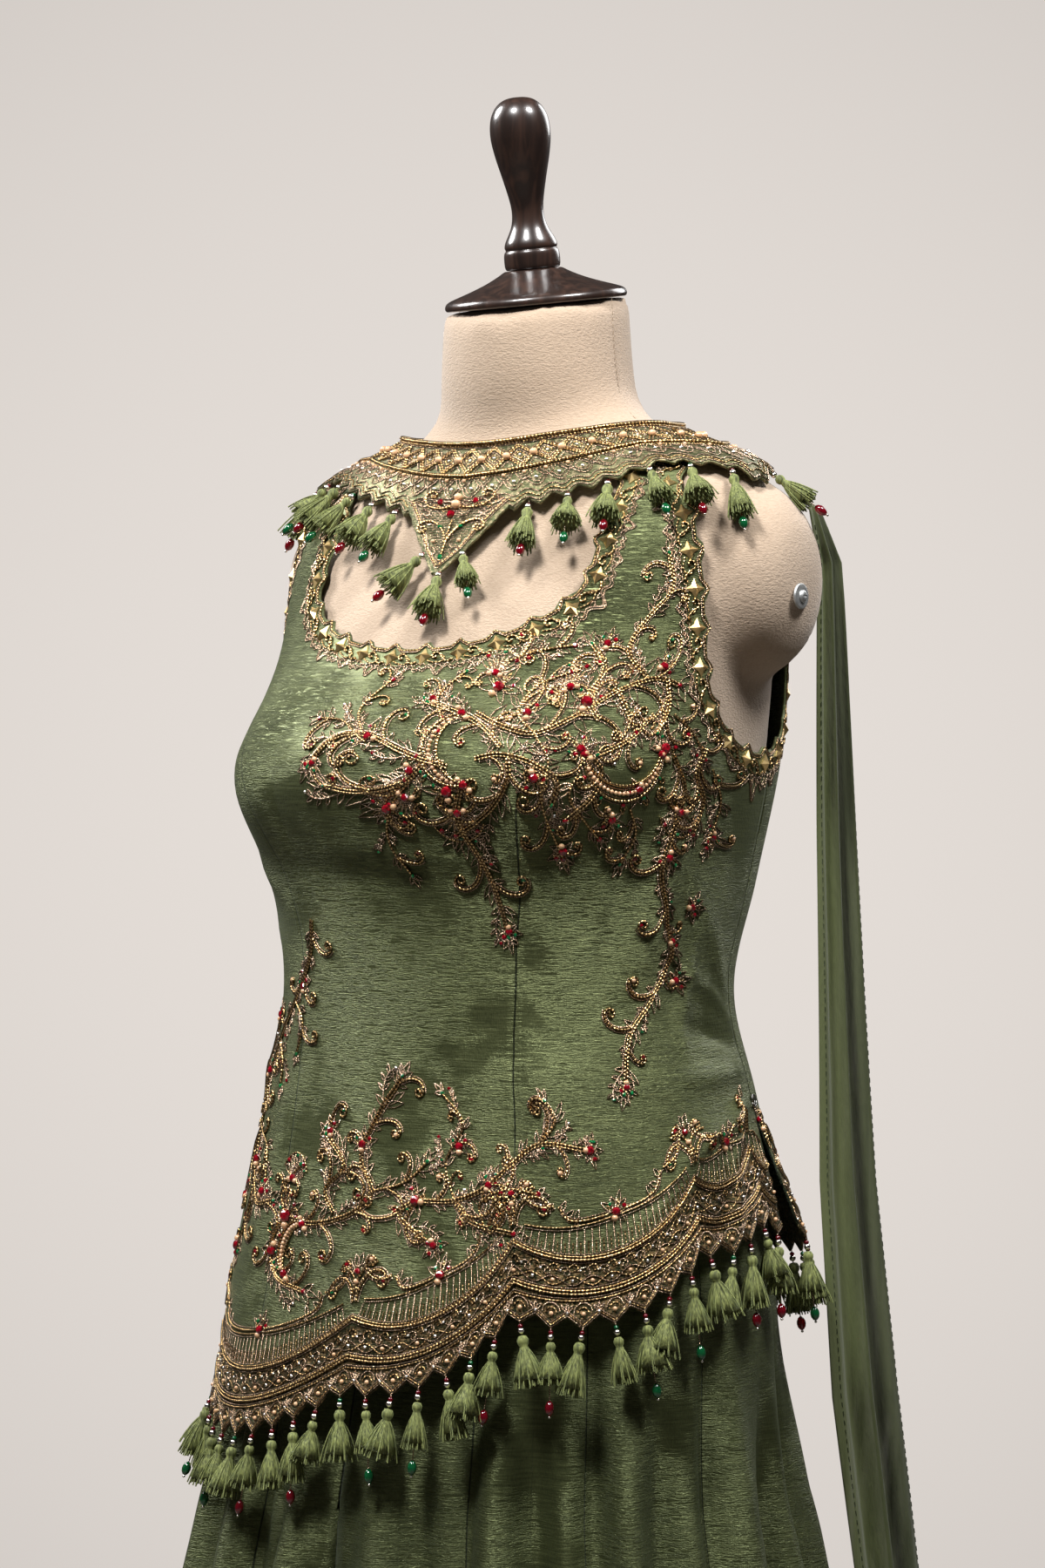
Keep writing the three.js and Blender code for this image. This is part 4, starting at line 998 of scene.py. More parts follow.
def kurti_half(half):
    grid = kurti_grid(half)
    rows, columns = grid.shape[:2]
    points = grid.reshape(-1, 3)
    angles, length, _ = hems[half]
    turn = np.interp(np.linspace(0, length[-1], columns), length, angles)
    above = grid[:, :, 2] / MM - hem_height(turn)
    seams = np.broadcast_to(np.minimum(turn - turn[0], turn[-1] - turn) * 130, (rows, columns)).ravel()
    if half == "front":
        across = np.abs(points[:, 0] / MM) - np.interp(points[:, 2] / MM, PRINCESS[::-1, 0], PRINCESS[::-1, 1])
        across = np.where((points[:, 1] < 0.02) & (points[:, 2] < 1.29), across, 9)
        points[:, 1] += np.exp(-((across / 2.5) ** 2)) * 0.35 * MM
        seams = np.where(seams < np.abs(across), seams, across)
    mesh = make_mesh("kurti_" + half, points, grid_faces(rows, columns))
    add_attribute(mesh, "seam", "FLOAT", seams)
    add_attribute(mesh, "worked", "FLOAT", WORKED_HEM - above)
    with reshaping(mesh) as model:
        for rough, edge in ((neck_field, necks[half]), (arm_field, arms[1]), (arm_field, arms[-1])):
            trim(model, away_from(rough))
            trim(model, edge.field)
        bmesh.ops.delete(model, geom=[v for v in model.verts if not v.link_faces], context="VERTS")
    smooth(mesh)
    return thicken(new_object(f"kurti_{half}_cloth", mesh, kurti_silk), KURTI_THICK, -1)


# The last pair is the filled ground's painted shade between the cords, then its metal chips.
kurti_silk = dupion_silk("kurti_silk", (0.225, 0.252, 0.106), (0.050, 0.059, 0.023), 1.0,
                         ((0.020, 0.024, 0.009), (0.24, 0.155, 0.07)))
FRONT_PANELS = ["kurti_front_centre", "kurti_front_left", "kurti_front_right"]
for half, nodes, cut in (("front", FRONT_PANELS, dict(flat=(0.52, 0.56), area=0.22)),
                         ("back", ["kurti_back"], dict(flat=(0.50, 0.55), area=0.19))):
    piece = kurti_half(half)
    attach(piece, "root")
    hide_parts(*nodes)

# ---- Neck and armhole borders ----
# Hand embroidery that covers the cut edges: raised gold studs at the points, a gold bullion scroll
# from stud to stud, and a wavy outline of looped silver wire on the side of the cloth.
STUD = 5.5                       # half-width of a stud
# What each cord is made of, its radius in millimetres and how high it lies, in radii
CORDS = {"bullion": ("gold", 0.78, 0.9), "fine": ("gold", 0.52, 0.5), "gilt": ("gold", 0.47, 0.5),
         "wire": ("silver", 0.47, 0.5), "rope": ("gold", 1.0, 1.0)}
DRAWN_CORDS, DRAWN_GEMS = [], []
WORK = defaultdict(list)         # what is placed and not yet made: {material: places}


def cord(name, points, share=1.0, rise=None):
    """Draws a cord on a flat, in millimetres."""
    kind, thickness, usual = CORDS[name]
    DRAWN_CORDS.append((kind, np.asarray(points, float), thickness * share, usual if rise is None else rise))


def gem(kind, at, size, turn=0.0):
    DRAWN_GEMS.append((kind, *at, size, turn))


def lay(place):
    """Carries the drawing to the surface; place takes u, v and the height out of the cloth."""
    kinds, lines, thickness, rise = zip(*DRAWN_CORDS)
    lift = np.concatenate([np.full(len(p), t * r + 0.1) for p, t, r in zip(lines, thickness, rise)])
    laid = place(*np.concatenate(lines).T, lift)
    for kind, line, thick in zip(kinds, np.split(laid, np.cumsum([len(p) for p in lines])[:-1]), thickness):
        WORK[kind].append((line, thick))
    u, v, size, turn = np.array([drawn[1:] for drawn in DRAWN_GEMS]).T
    base = place(u, v, 0 * u)
    facing = unit(place(u, v, 0 * u + 4) - base)
    aside = unit(place(u + 0.5 * np.cos(turn), v + 0.5 * np.sin(turn), 0 * u) - base)
    for drawn, *where in zip(DRAWN_GEMS, base, facing, aside, size):
        WORK[drawn[0]].append(where)
    DRAWN_CORDS.clear()
    DRAWN_GEMS.clear()


def geometry_tree(name, **inputs):
    return new_tree(name, "Geometry", dict(Geometry="Geometry", **inputs, Material="Material"),
                    dict(Geometry="Geometry"))


def end_tree(tree, end, geometry, source):
    fill(end, put(tree, "SetMaterial", Geometry=geometry, Material=source["Material"]))
    return tree


def laid_cord_tree():
    tree, source, end = geometry_tree("laid cord", Sides="Int")
    line = put(tree, "MeshToCurve", Mesh=source["Geometry"])
    marked = put(tree, "StoreNamedAttribute", Geometry=line, Name="along",
                 Value=put(tree, "SplineParameter", out="Length"), data_type="FLOAT", domain="POINT")
    radius = put(tree, "InputNamedAttribute", Name="thickness", data_type="FLOAT")
    ring = put(tree, "CurvePrimitiveCircle", Resolution=source["Sides"], Radius=1.0)
    mesh = put(tree, "CurveToMesh", Curve=marked, Profile_Curve=ring, Scale=radius, Fill_Caps=True)
    return end_tree(tree, end, put(tree, "SetShadeSmooth", Geometry=mesh), source)


def set_stone_tree():
    tree, source, end = geometry_tree("set stones", Stone="Object")
    named = lambda key, kind: put(tree, "InputNamedAttribute", Name=key, data_type=kind)
    turn = put(tree, "FunctionNodeAxesToRotation", Primary_Axis=named("facing", "FLOAT_VECTOR"),
               Secondary_Axis=named("aside", "FLOAT_VECTOR"))
    stone = put(tree, "ObjectInfo", Object=source["Stone"], out="Geometry")
    placed = put(tree, "InstanceOnPoints", Points=source["Geometry"], Instance=stone, Rotation=turn,
                 Scale=named("size", "FLOAT"))
    return end_tree(tree, end, put(tree, "RealizeInstances", Geometry=placed), source)


def run_tree(piece, tree, **inputs):
    """Evaluates a node tree on a piece and keeps the plain mesh."""
    modifier = piece.modifiers.new(tree.name, "NODES")
    modifier.node_group = tree
    sockets = {item.name: item.identifier for item in tree.interface.items_tree if item.in_out == "INPUT"}
    for key, value in inputs.items():
        modifier[sockets[key]] = value
    return apply_modifiers(piece)


def lay_cords(name, cords, material, sides):
    starts = np.cumsum([0] + [len(line) for line, _ in cords])
    edges = [(i, i + 1) for start, end in zip(starts, starts[1:]) for i in range(start, end - 1)]
    mesh = bpy.data.meshes.new(name)
    mesh.from_pydata(np.concatenate([line for line, _ in cords]).tolist(), edges, [])
    add_attribute(mesh, "thickness", "FLOAT",
                  np.concatenate([np.full(len(line), t * MM) for line, t in cords]))
    return run_tree(new_object(name, mesh), laid_cord, Sides=sides, Material=material)


def set_stones(name, stones, material, stone):
    mesh = bpy.data.meshes.new(name)
    mesh.from_pydata([s[0].tolist() for s in stones], [], [])
    add_attribute(mesh, "facing", "FLOAT_VECTOR", [s[1] for s in stones])
    add_attribute(mesh, "aside", "FLOAT_VECTOR", [s[2] for s in stones])
    add_attribute(mesh, "size", "FLOAT", [s[3] * MM for s in stones])
    return run_tree(new_object(name, mesh), set_stone, Stone=stone, Material=material)


def joined(name, pieces):
    """One object of several, keeping their materials."""
    bpy.ops.object.select_all(action="DESELECT")
    for piece in pieces:
        piece.select_set(True)
    bpy.context.view_layer.objects.active = pieces[0]
    bpy.ops.object.join()
    pieces[0].name = pieces[0].data.name = name
    return pieces[0]


def finish_work(name, place=None):
    """Makes one object of all the work since the last call; place carries what was drawn."""
    if place:
        lay(place)
    pieces = []
    for kind, items in WORK.items():
        material, form = MADE_OF[kind]
        make = lay_cords if isinstance(form, int) else set_stones
        pieces.append(make(f"{name}_{kind}", items, material, form))
    WORK.clear()
    return joined(name, pieces)


def ring_faces(rings, sides, flip=False):
    return np.roll(grid_faces(len(rings), sides, closed=True, flip=flip), 1, axis=1).tolist()


def bead(name, rings, sides, squash=1.0):
    """A small shape on the origin, turned, or faceted in the case of a cut stone."""
    cut = rings is CUT
    top = (len(rings) - 1) * sides
    ends = [list(range(sides))[::-1], list(range(top, top + sides))]
    mesh = make_mesh(name, ring_points(rings, sides, squash, 0.5 * cut), ring_faces(rings, sides, True) + ends)
    if not cut:
        smooth(mesh)
    return bpy.data.objects.new(name, mesh)


def star_stud():
    """A raised four-pointed star with creased points."""
    turn = np.arange(8) * math.pi / 4
    reach = np.tile([1.0, 0.52], 4)
    points = [(*p, z) for z in (0, 0.12) for p in zip(reach * np.cos(turn), reach * np.sin(turn))]
    faces = []
    for i in range(8):
        j = (i + 1) % 8
        faces += [(i, j, 8 + j, 8 + i), (8 + i, 8 + j, 16)]
    mesh = make_mesh("stud", points + [(0, 0, 0.55)], faces + [tuple(range(8))[::-1]])
    return bpy.data.objects.new("stud", mesh)


def metal_thread(name, light, dark, pitch, strength):
    """Coiled or twisted metal thread: ridges that repeat along the cord, painted bright as highlights, with
    painted shade in the grooves between them and random painted glints.
    """
    tree, finish = new_material(name)
    wave = (put(tree, "Attribute", attribute_name="along", out="Fac") * (2 * math.pi / pitch)).math("SINE")
    ridge = wave * 0.35 + noise(tree, 900)
    # The colour follows the ridges: painted highlight on them and painted shade between them.
    return finish(mix(((ridge - 0.2) * 1.25).clamped(), dark, light), 0.27, (ridge, strength, 0.0004),
                  Metallic=1.0)


def stone_material(name, colour, glow, roughness):
    """Cut glass with foil behind it: its colour is painted lighter in a pattern of cells, a painted reflection
    of light from the foil in its depths.
    """
    tree, finish = new_material(name)
    depth = put(tree, "TexVoronoi", Vector=mapped(tree, 420), Scale=1.0, out="Distance")
    return finish(mix(depth, tuple(c * 0.25 for c in colour), glow), roughness, Specular_IOR_Level=0.8,
                  Coat_Weight=0.6, Coat_Roughness=0.05)


laid_cord, set_stone = laid_cord_tree(), set_stone_tree()
BALL = [(0.30, -0.35), (0.82, 0.0), (1.0, 0.45), (0.82, 0.95), (0.36, 1.3)]
CUT = [(0.85, -0.1), (1.0, 0.35), (0.78, 0.75), (0.45, 0.92)]
MADE_OF = {                      # material, and a cord's sides or a stone's shape
    # For each metal thread the first colour is the painted highlight on its ridges and the second the painted
    # shade in its grooves.
    "gold": (metal_thread("gold_bullion", (1.0, 0.72, 0.36), (0.13, 0.066, 0.020), 0.0021, 0.8), 4),
    "silver": (metal_thread("silver_wire", (1.0, 0.79, 0.58), (0.18, 0.095, 0.048), 0.0012, 0.9), 3),
    "pearl": (plain_material("peach_pearl", (0.72, 0.40, 0.22), 0.22, Coat_Weight=0.5, Subsurface_Weight=0.1),
              bead("pearl_bead", BALL, 8)),
    "seed": (plain_material("seed_silver", (0.90, 0.84, 0.78), 0.2, Metallic=1.0), bead("seed_bead", BALL, 6)),
    "ruby": (stone_material("ruby_glass", (0.20, 0.001, 0.006), (0.36, 0.002, 0.014), 0.08),
             bead("ruby_stone", CUT, 7)),
    "emerald": (stone_material("emerald_glass", (0.002, 0.10, 0.030), (0.006, 0.26, 0.07), 0.08),
                bead("emerald_stone", CUT, 7, squash=0.7)),
    "stud": (plain_material("stud_gold", (0.96, 0.70, 0.32), 0.36, Metallic=1.0), star_stud()),
}


def bezier(*points, steps=14):
    """A smooth line through the given points."""
    p = np.array(points, float)
    p = np.concatenate([[2 * p[0] - p[1]], p, [2 * p[-1] - p[-2]]])
    t = np.linspace(0, 1, steps, endpoint=False)[:, None]
    parts = [0.5 * (2 * b + (c - a) * t + (2 * a - 5 * b + 4 * c - d) * t ** 2
                    + (3 * b - a - 3 * c + d) * t ** 3)
             for a, b, c, d in zip(p, p[1:], p[2:], p[3:])]
    return np.concatenate(parts + [p[-2:-1]])


def polar(centre, radius, turn):
    """Points at a distance and a turn from a centre."""
    return np.stack([centre[0] + radius * np.cos(turn), centre[1] + radius * np.sin(turn)], axis=-1)


def level_line(s, height):
    """A line along an edge at a height above it."""
    return np.stack([s, height + 0 * s], axis=1)


def leaf(start, heading, length, width, name="wire", share=1.0):
    """A leaf or petal outlined in wire from its base."""
    t = np.linspace(0, 1, 5)
    middle = polar(start, t * length, heading)
    spread = polar((0, 0), np.sin(math.pi * t ** 0.8) * width / 2, heading + math.pi / 2)
    cord(name, np.concatenate([middle + spread, (middle - spread)[::-1][1:]]), share)


def edge_repeat(s, number):
    """One stud with the scrolls that lead on to the next; s is along the edge and t into the cloth."""
    flip = 1 if number % 2 else -1
    middle = s + STUD_PITCH / 2
    along = lambda *points, steps: bezier(*((s + a, b) for a, b in points), steps=steps)
    gem("stud", (s, 4.6), STUD)
    cord("bullion", along((3, 8.2), (6, 9.4), (9, 7.2), (11.2, 3.6), (14.4, 3), (15.6, 5.2),
                          (13.8, 6.4), (12.8, 5.4), steps=5))
    cord("fine", along((18.1, 7.6), (15.2, 8.8), (11, 9.6), (8.4, 8.2), (8.2, 6), (9.6, 5.2), steps=4), 1, 0.9)
    gem("seed", (middle - 1, 6.4), 0.85)
    outline = along((0, 11.5), (2.6, 13.4), (5.2, 10.6), (7.6, 11.8), (10.75, 15.4 + flip), (14, 12.2),
                    (16.6, 10.6), (19.4, 13), (STUD_PITCH, 11.5), steps=4)
    cord("wire", outline, 1.2)
    cord("wire", outline + (0, 1.7))
    leaf((middle, 10.6), math.pi / 2 + 0.12 * flip, 6.6 + flip, 4.2)
    for side in (-1, 1):
        leaf((middle + side, 10.4), math.pi / 2 - side * 0.95, 4.2, 2.2)
    cord("wire", along((-3.4, 11), (-1.6, 9), (0, 10.4), (1.6, 9), (3.4, 11), steps=3))


def border(edge, name, *nodes):
    spare = edge.length - edge.length // STUD_PITCH * STUD_PITCH
    first = round(spare / 2 / STUD_PITCH) * STUD_PITCH
    for number, s in enumerate(np.arange(first, edge.length - 2, STUD_PITCH)):
        edge_repeat(s, number)
    s = np.arange(0.5, edge.length - 0.5, 1.4)
    cord("fine", level_line(s, 1.3 - edge.peak(s)), 1, 0.8)
    cord("wire", level_line(s, 2.5 - edge.peak(s)), 1, 0.8)
    piece = finish_work(name, edge.place)
    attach(piece, "root")
    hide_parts(*nodes)


border(necks["front"], "neck_border_embroidery", "kurti_neck_border")
border(necks["back"], "back_neck_border_embroidery", "kurti_back_neck_border")
for side, name in ((1, "left"), (-1, "right")):
    border(arms[side], f"{name}_armhole_border_embroidery", f"kurti_armhole_border_{name}_front",
           f"kurti_armhole_border_{name}_back")

# ---- Hem border ----
# A deep border in gold and silver thread, stitched to the kurti's lower edge. Doubled cords swing
# from point to point, with a row of small scrolls between them, fine stitches above, and a garland
# of volutes and flowers on top. The edge itself is a row of beaded teeth.
UP = math.pi / 2


def curl(start, heading, length, bend, tight, grow=3):
    """A line that tightens into a volute; bends are in radians a millimetre."""
    s = np.linspace(0, length, max(8, int(length / 1.5)))
    step = s[1] - s[0]
    turn = heading + np.cumsum(bend + (tight - bend) * (s / length) ** grow) * step
    return np.array(start) + np.cumsum(np.stack([np.cos(turn), np.sin(turn)], axis=1), axis=0) * step


def beside(line, gap):
    """A line that runs beside another."""
    along = unit(np.gradient(line, axis=0))
    return line + gap * np.stack([-along[:, 1], along[:, 0]], axis=1)


def flower(at, size, heading=UP):
    """Looped petals round a ruby, with a pearl below and small stones between."""
    for i in range(5):
        turn = heading + (i - 2) * 0.62
        base = polar(at, 1.2, turn)
        leaf(base, turn, size * (0.8 if i % 2 else 1.05), size * 0.36)
        if i % 2 == 0:
            leaf(base, turn, size * 0.6, size * 0.16, "fine", 0.8)
    for side, stone in ((-1, "ruby"), (1, "emerald")):
        leaf(at, heading + side * 2.1, size * 0.85, size * 0.3)
        gem(stone, polar(at, size * 0.62, heading + side * 0.95), 1.35, heading)
    gem("ruby", at, size * 0.24 + 0.4, heading)
    gem("pearl", polar(at, -size * 0.34, heading), size * 0.09 + 1.0)


def volute(start, heading, size, hand, stone=None, double=True):
    """A gold scroll with a finer line inside it and, in some, a stone in its eye."""
    line = curl(start, heading, size * 3.3, hand * 0.55 / size, hand * 7.6 / size, 2.6)
    cord("bullion", line)
    if double:
        cord("wire", beside(line, hand * 1.4)[:-7])
        cord("wire", beside(line, -hand * 1.4)[:-9])
    if stone:
        gem(stone, line[-1], 1.5)


def festoon(start, end):
    """One swag of the border between two points of it."""
    span = end - start
    share = np.linspace(0, 1, int(span / 2.2) + 2)
    s = start + share * span
    lift = np.abs(2 * share - 1)
    lower = 15.2 + 1.6 * lift ** 3
    upper = 32.5 + 5 * lift ** 2.6
    for line, name, thick in ((lower, "bullion", 1), (lower + 1.75, "bullion", 1), (lower + 3.2, "wire", 1),
                              (upper - 1.5, "wire", 1), (upper, "bullion", 1.15), (upper + 1.7, "fine", 1),
                              (upper + 2.9, "wire", 1)):
        cord(name, level_line(s, line), thick, 0.8)
    waves = max(2, round(span / 11))
    swing = 2.4 * np.cos(share * math.pi * waves)
    cord("wire", level_line(s, lower + 6.8 + swing))
    cord("fine", level_line(s, lower + 6.8 - swing), 0.85)
    for i in range(waves):
        at = start + span * (i + 0.5) / waves
        base = np.interp(at, s, lower)
        room = np.interp(at, s, upper) - base - 12.5
        gem("pearl" if i % 2 else "seed", (at + span * 0.5 / waves, base + 6.8), 1.15)
        cord("wire", curl((at - 3.4, base + 10.4), 1.15, 15.5, -0.1, -0.72, 1.4))
        cord("fine", curl((at + 1.8, base + 10.4), 1.25, 8 + room, -0.05, -0.9, 1.6), 0.85)
        gem("seed", (at - 0.9, base + 12.2), 0.8)
    tops = []
    for i, q in enumerate(np.linspace(0.04, 0.96, int(span / 2.35))):
        at = start + q * span
        base = np.interp(at, s, upper) + 3.4
        top = base + 14 * (1 - 0.6 * abs(2 * q - 1) ** 1.5)
        lean = (q - 0.5) * -5
        tops.append((at + lean, top + 0.8))
        if i % 2:
            cord("fine", [(at, base), (at + lean * 0.5, (base + top) / 2)], 0.9)
        else:
            cord("wire", [(at, base), (at + lean, top)])
    cord("wire", tops)
    cord("fine", np.array(tops) + (0, 1.6))
    if span > 30:
        garland(start, end, upper.min())


def garland(start, end, low):
    """Volutes at the points of the border and a flower on a stem between them."""
    span, middle = end - start, (start + end) / 2
    flower((middle, low + 21.5), 9.5, math.radians(70))
    size = min(15.0, span * 0.21)
    for side, corner, stone, far_stone in ((-1, start, "ruby", "pearl"), (1, end, "emerald", "ruby")):
        at = (corner - side * 1.2, low + 13)
        volute(at, UP, size, side, stone)
        inner = curl(at, UP, size * 1.7, side * 0.4 / size, side * 1.6 / size, 2.0)
        cord("bullion", beside(inner, -side * 3.0))
        volute((corner - side * size * 1.75, low + 29), side * 1.1 - UP, size * 0.85, side, far_stone)
        stem = bezier((corner - side * size * 1.8, low + 28), (corner - side * size * 2.25, low + 21),
                      (middle + side * 5, low + 21.5), steps=7)
        cord("bullion", stem, 0.9)
        cord("wire", beside(stem, 1.5))
        for i, turn in ((2, 0.5), (5, 0.9), (8, 0.4)):
            leaf(stem[i], UP + side * turn, 6.5, 2.6)
            leaf(stem[i], -UP - side * turn, 4.0, 1.8)
        leaf((corner, low + 33), UP - side * 0.35, 8.5, 3.4)
        leaf((corner - side * 3, low + 31), UP + side * 0.5, 7.0, 2.8)
    gem("pearl", (start, low + 25), 1.7)
    gem("ruby", (start, low + 30.5), 1.9)


def tooth_row(length, teeth):
    pitch = length / teeth
    for i in range(teeth):
        left, middle, right = i * pitch, (i + 0.5) * pitch, (i + 1) * pitch
        for up, name in ((1.0, "wire"), (2.3, "fine"), (3.6, "wire")):
            shoulder = TOOTH_DEPTH / 2 + up
            cord(name, [(left, shoulder), (middle, up - TOOTH_DEPTH / 2), (right, shoulder)], 1, 0.7)
        gem("pearl", (middle, 5.0), 1.3)
        turns = np.linspace(0.05, math.pi - 0.05, 6)
        cord("wire", polar((middle, 6.0), 4.9, turns))
        cord("fine", polar((middle, 5.4), 3.1, turns), 0.8)
        for turn in (-0.75, 0, 0.75):
            leaf((left, 6.2), UP + turn, 4.6, 1.5)
        gem("seed", (left, 5.6), 0.9)
    s = np.arange(0.5, length, 2.4)
    cord("fine", level_line(s, 12.0), 1, 0.8)
    cord("wire", level_line(s, 13.3), 1, 0.8)


def hem_place(half):
    angles, length, _ = hems[half]

    def place(s, t, out):
        turn = np.interp(s, length, angles)
        return kurti_cloth(turn, level_at(turn, hem_height(turn) + t), out * MM)
    return place


for half, cusps in (("front", (-106, -57, -3, 27, 73.5, 97.5, 106)), ("back", (106, 142, 180, 218, 254))):
    angles, length, teeth = hems[half]
    tooth_row(length[-1], teeth)
    ends = np.interp(np.radians(cusps), angles, length)
    ends[0], ends[-1] = max(ends[0], 1.5), min(ends[-1], length[-1] - 1.5)
    for start, end in zip(ends, ends[1:]):
        festoon(start, end)
    piece = finish_work(f"{half}_hem_embroidery", hem_place(half))
    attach(piece, "root")
    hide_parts(f"kurti_hem_border_{half}")


# ---- Kurti embroidery ----
# Scrolling stems in doubled gold cord with silver wire leaves, stone flowers and pearl-lined
# crescents: a spray over the wearer's left bust and strap, a vine down each side, and two sprays
# that rise from the hem. Each stem is a row of (angle in degrees, height) it passes through.
STEMS = [
    # scroll size, spacing of scrolls, 1 where doubled, then the angle and height of each place
    (9, 15, 1, 17, 1234, 11, 1238, 6, 1243, -1, 1251, -7, 1248, -11, 1234),
    (6, 13, 0, -1, 1252, -4, 1266, -1, 1281), (7, 14, 0, 9, 1226, 5, 1214, 3, 1196, 6, 1176),
    (14, 19, 1, 21, 1262, 28, 1255, 36, 1251, 44, 1260, 53, 1274, 62, 1281, 70, 1278),
    (8, 15, 1, 60, 1281, 53, 1296, 56, 1314, 61, 1330, 58, 1350),
    (8, 16, 0, 36, 1251, 40, 1236, 39, 1214, 43, 1186), (9, 17, 1, 20, 1222, 19, 1204, 24, 1180, 29, 1143),
    (8, 16, 0, 47, 1232, 45, 1218, 49, 1204, 52, 1196),
    (8, 15, 1, 72, 1240, 76, 1222, 73, 1200, 70, 1176, 74, 1150, 77, 1130, 71, 1108, 62, 1088, 57, 1058),
    (7, 15, 0, 85, 1233, 89, 1215, 86, 1190),
    (9, 16, 1, -25, 985, -15, 983, -6, 990, -2, 1003, -5, 1022, -2, 1045, 2, 1066),
    (9, 16, 1, 7, 1000, 14, 1001, 21, 1008, 27, 1021, 34, 1032, 45, 1029),
    (7, 14, 0, 14, 1002, 12, 1022, 16, 1042, 11, 1058), (8, 15, 0, 21, 986, 20, 1000, 26, 1008, 33, 1006),
    (6, 13, 0, -24, 984, -27, 998, -22, 1014),
    (8, 15, 1, -24, 1150, -27, 1128, -36, 1104, -46, 1080, -51, 1050, -49, 1018, -45, 990, -49, 958),
    (7, 15, 0, -36, 1104, -30, 1092, -31, 1074), (7, 15, 0, -49, 1030, -39, 1020, -35, 1002),
    (10, 14, 1, 23, 1238, 29, 1240, 36, 1236, 42, 1226, 41, 1214), (9, 13, 1, 53, 1274, 57, 1262, 60, 1252),
    (9, 14, 1, 66, 1280, 68, 1266, 66, 1252), (8, 12, 0, 24, 1290, 31, 1296, 39, 1299),
    (7, 12, 0, 14, 1258, 11, 1272, 15, 1285), (9, 13, 1, 82, 1244, 80, 1230, 83, 1216, 80, 1198),
    (8, 13, 0, 60, 1212, 62, 1198, 58, 1182), (11, 15, 1, -24, 985, -28, 970, -24, 952, -15, 946),
    (9, 13, 0, -2, 1003, 4, 1010, 8, 1021), (10, 14, 1, 14, 1001, 18, 990, 27, 985),
    (8, 13, 0, 34, 1032, 38, 1044, 36, 1055), (9, 13, 1, -49, 1030, -58, 1016, -60, 992),
    (8, 13, 0, -46, 1080, -40, 1070, -38, 1055), (9, 14, 0, 36, 1251, 31, 1262, 33, 1276, 40, 1284),
    (9, 13, 1, 29, 1244, 24, 1254, 17, 1262, 9, 1268), (8, 12, 0, 0, 1247, -6, 1258, -13, 1260),
    (9, 13, 1, 12, 1236, 8, 1226, 0, 1221, -7, 1224), (9, 13, 1, 31, 1238, 31, 1226, 27, 1212, 18, 1198),
    (9, 13, 1, 50, 1258, 46, 1270, 48, 1286, 43, 1300), (9, 13, 1, 47, 1243, 52, 1232, 50, 1218, 44, 1206),
    (8, 12, 1, 64, 1262, 59, 1249, 51, 1240), (8, 12, 0, 70, 1262, 77, 1252, 82, 1238),
    (9, 13, 1, -10, 990, -13, 1002, -9, 1016, -15, 1032), (9, 13, 1, 8, 1003, 3, 992, 9, 978),
    (9, 13, 1, -45, 1000, -38, 989, -30, 992), (10, 13, 1, -47, 1040, -55, 1050, -56, 1070, -50, 1092),
]
FLOWERS = [
    # angle, height, size, heading in degrees
    (0, 1250, 9, 150), (4, 1212, 11, 200), (17, 1221, 12, 100), (24, 1276, 13, 60), (46, 1268, 13, 75),
    (47, 1243, 10, 140), (69, 1244, 11, 60), (43, 1190, 9, -80), (72, 1186, 9, -100), (83, 1158, 8, 0),
    (80, 1118, 8, 10), (58, 1062, 7, -100), (64, 1288, 9, 20), (-24, 985, 15, 100), (-27, 965, 12, -110),
    (6, 1000, 11, 170), (15, 1030, 9, 90), (-5, 1028, 9, 90), (46, 1029, 9, 0), (22, 1010, 8, 60),
    (-31, 1112, 8, 100), (-50, 1062, 10, 60), (-47, 1012, 10, 120), (-51, 962, 11, -80), (88, 1196, 7, -90),
    (-10, 1236, 7, -120), (29, 1146, 7, -80), (33, 1262, 9, 100), (55, 1206, 9, -90), (-36, 996, 9, 60),
    (9, 1232, 9, -60), (37, 1228, 10, -70), (62, 1222, 9, -110), (47, 1300, 8, 80), (10, 1270, 8, 120),
    (-14, 1034, 8, 110), (10, 977, 8, -60), (-52, 1094, 8, 90), (77, 1140, 7, 20),
]
FANS = [(19, 1210, 15, -90), (22, 1284, 13, 80), (41, 1276, 14, 110), (75, 1210, 13, -100), (-24, 1006, 14, 85),
        (8, 1218, 10, -110), (-55, 990, 12, 100)]
CRESCENTS = [(19, 1243, 19, 190), (58, 1240, 24, -90), (-20, 968, 15, 160)]


def kurti_at(angle, z, out):
    return kurti_cloth(angle, level_at(angle, z), out * MM)


class Patch:
    """A flat piece of the kurti about one place, in millimetres across and up."""

    def __init__(self, degrees, height):
        self.degrees, self.height = degrees, height
        middle = math.radians(degrees)
        apart = kurti_at(middle + 0.01, height, 0) - kurti_at(middle, height, 0)
        self.around = np.linalg.norm(apart) / MM / 0.01

    def flat(self, degrees, height):
        return np.array([math.radians(degrees - self.degrees) * self.around, height - self.height])

    def place(self, u, v, out):
        return kurti_at(math.radians(self.degrees) + u / self.around, self.height + v, out)


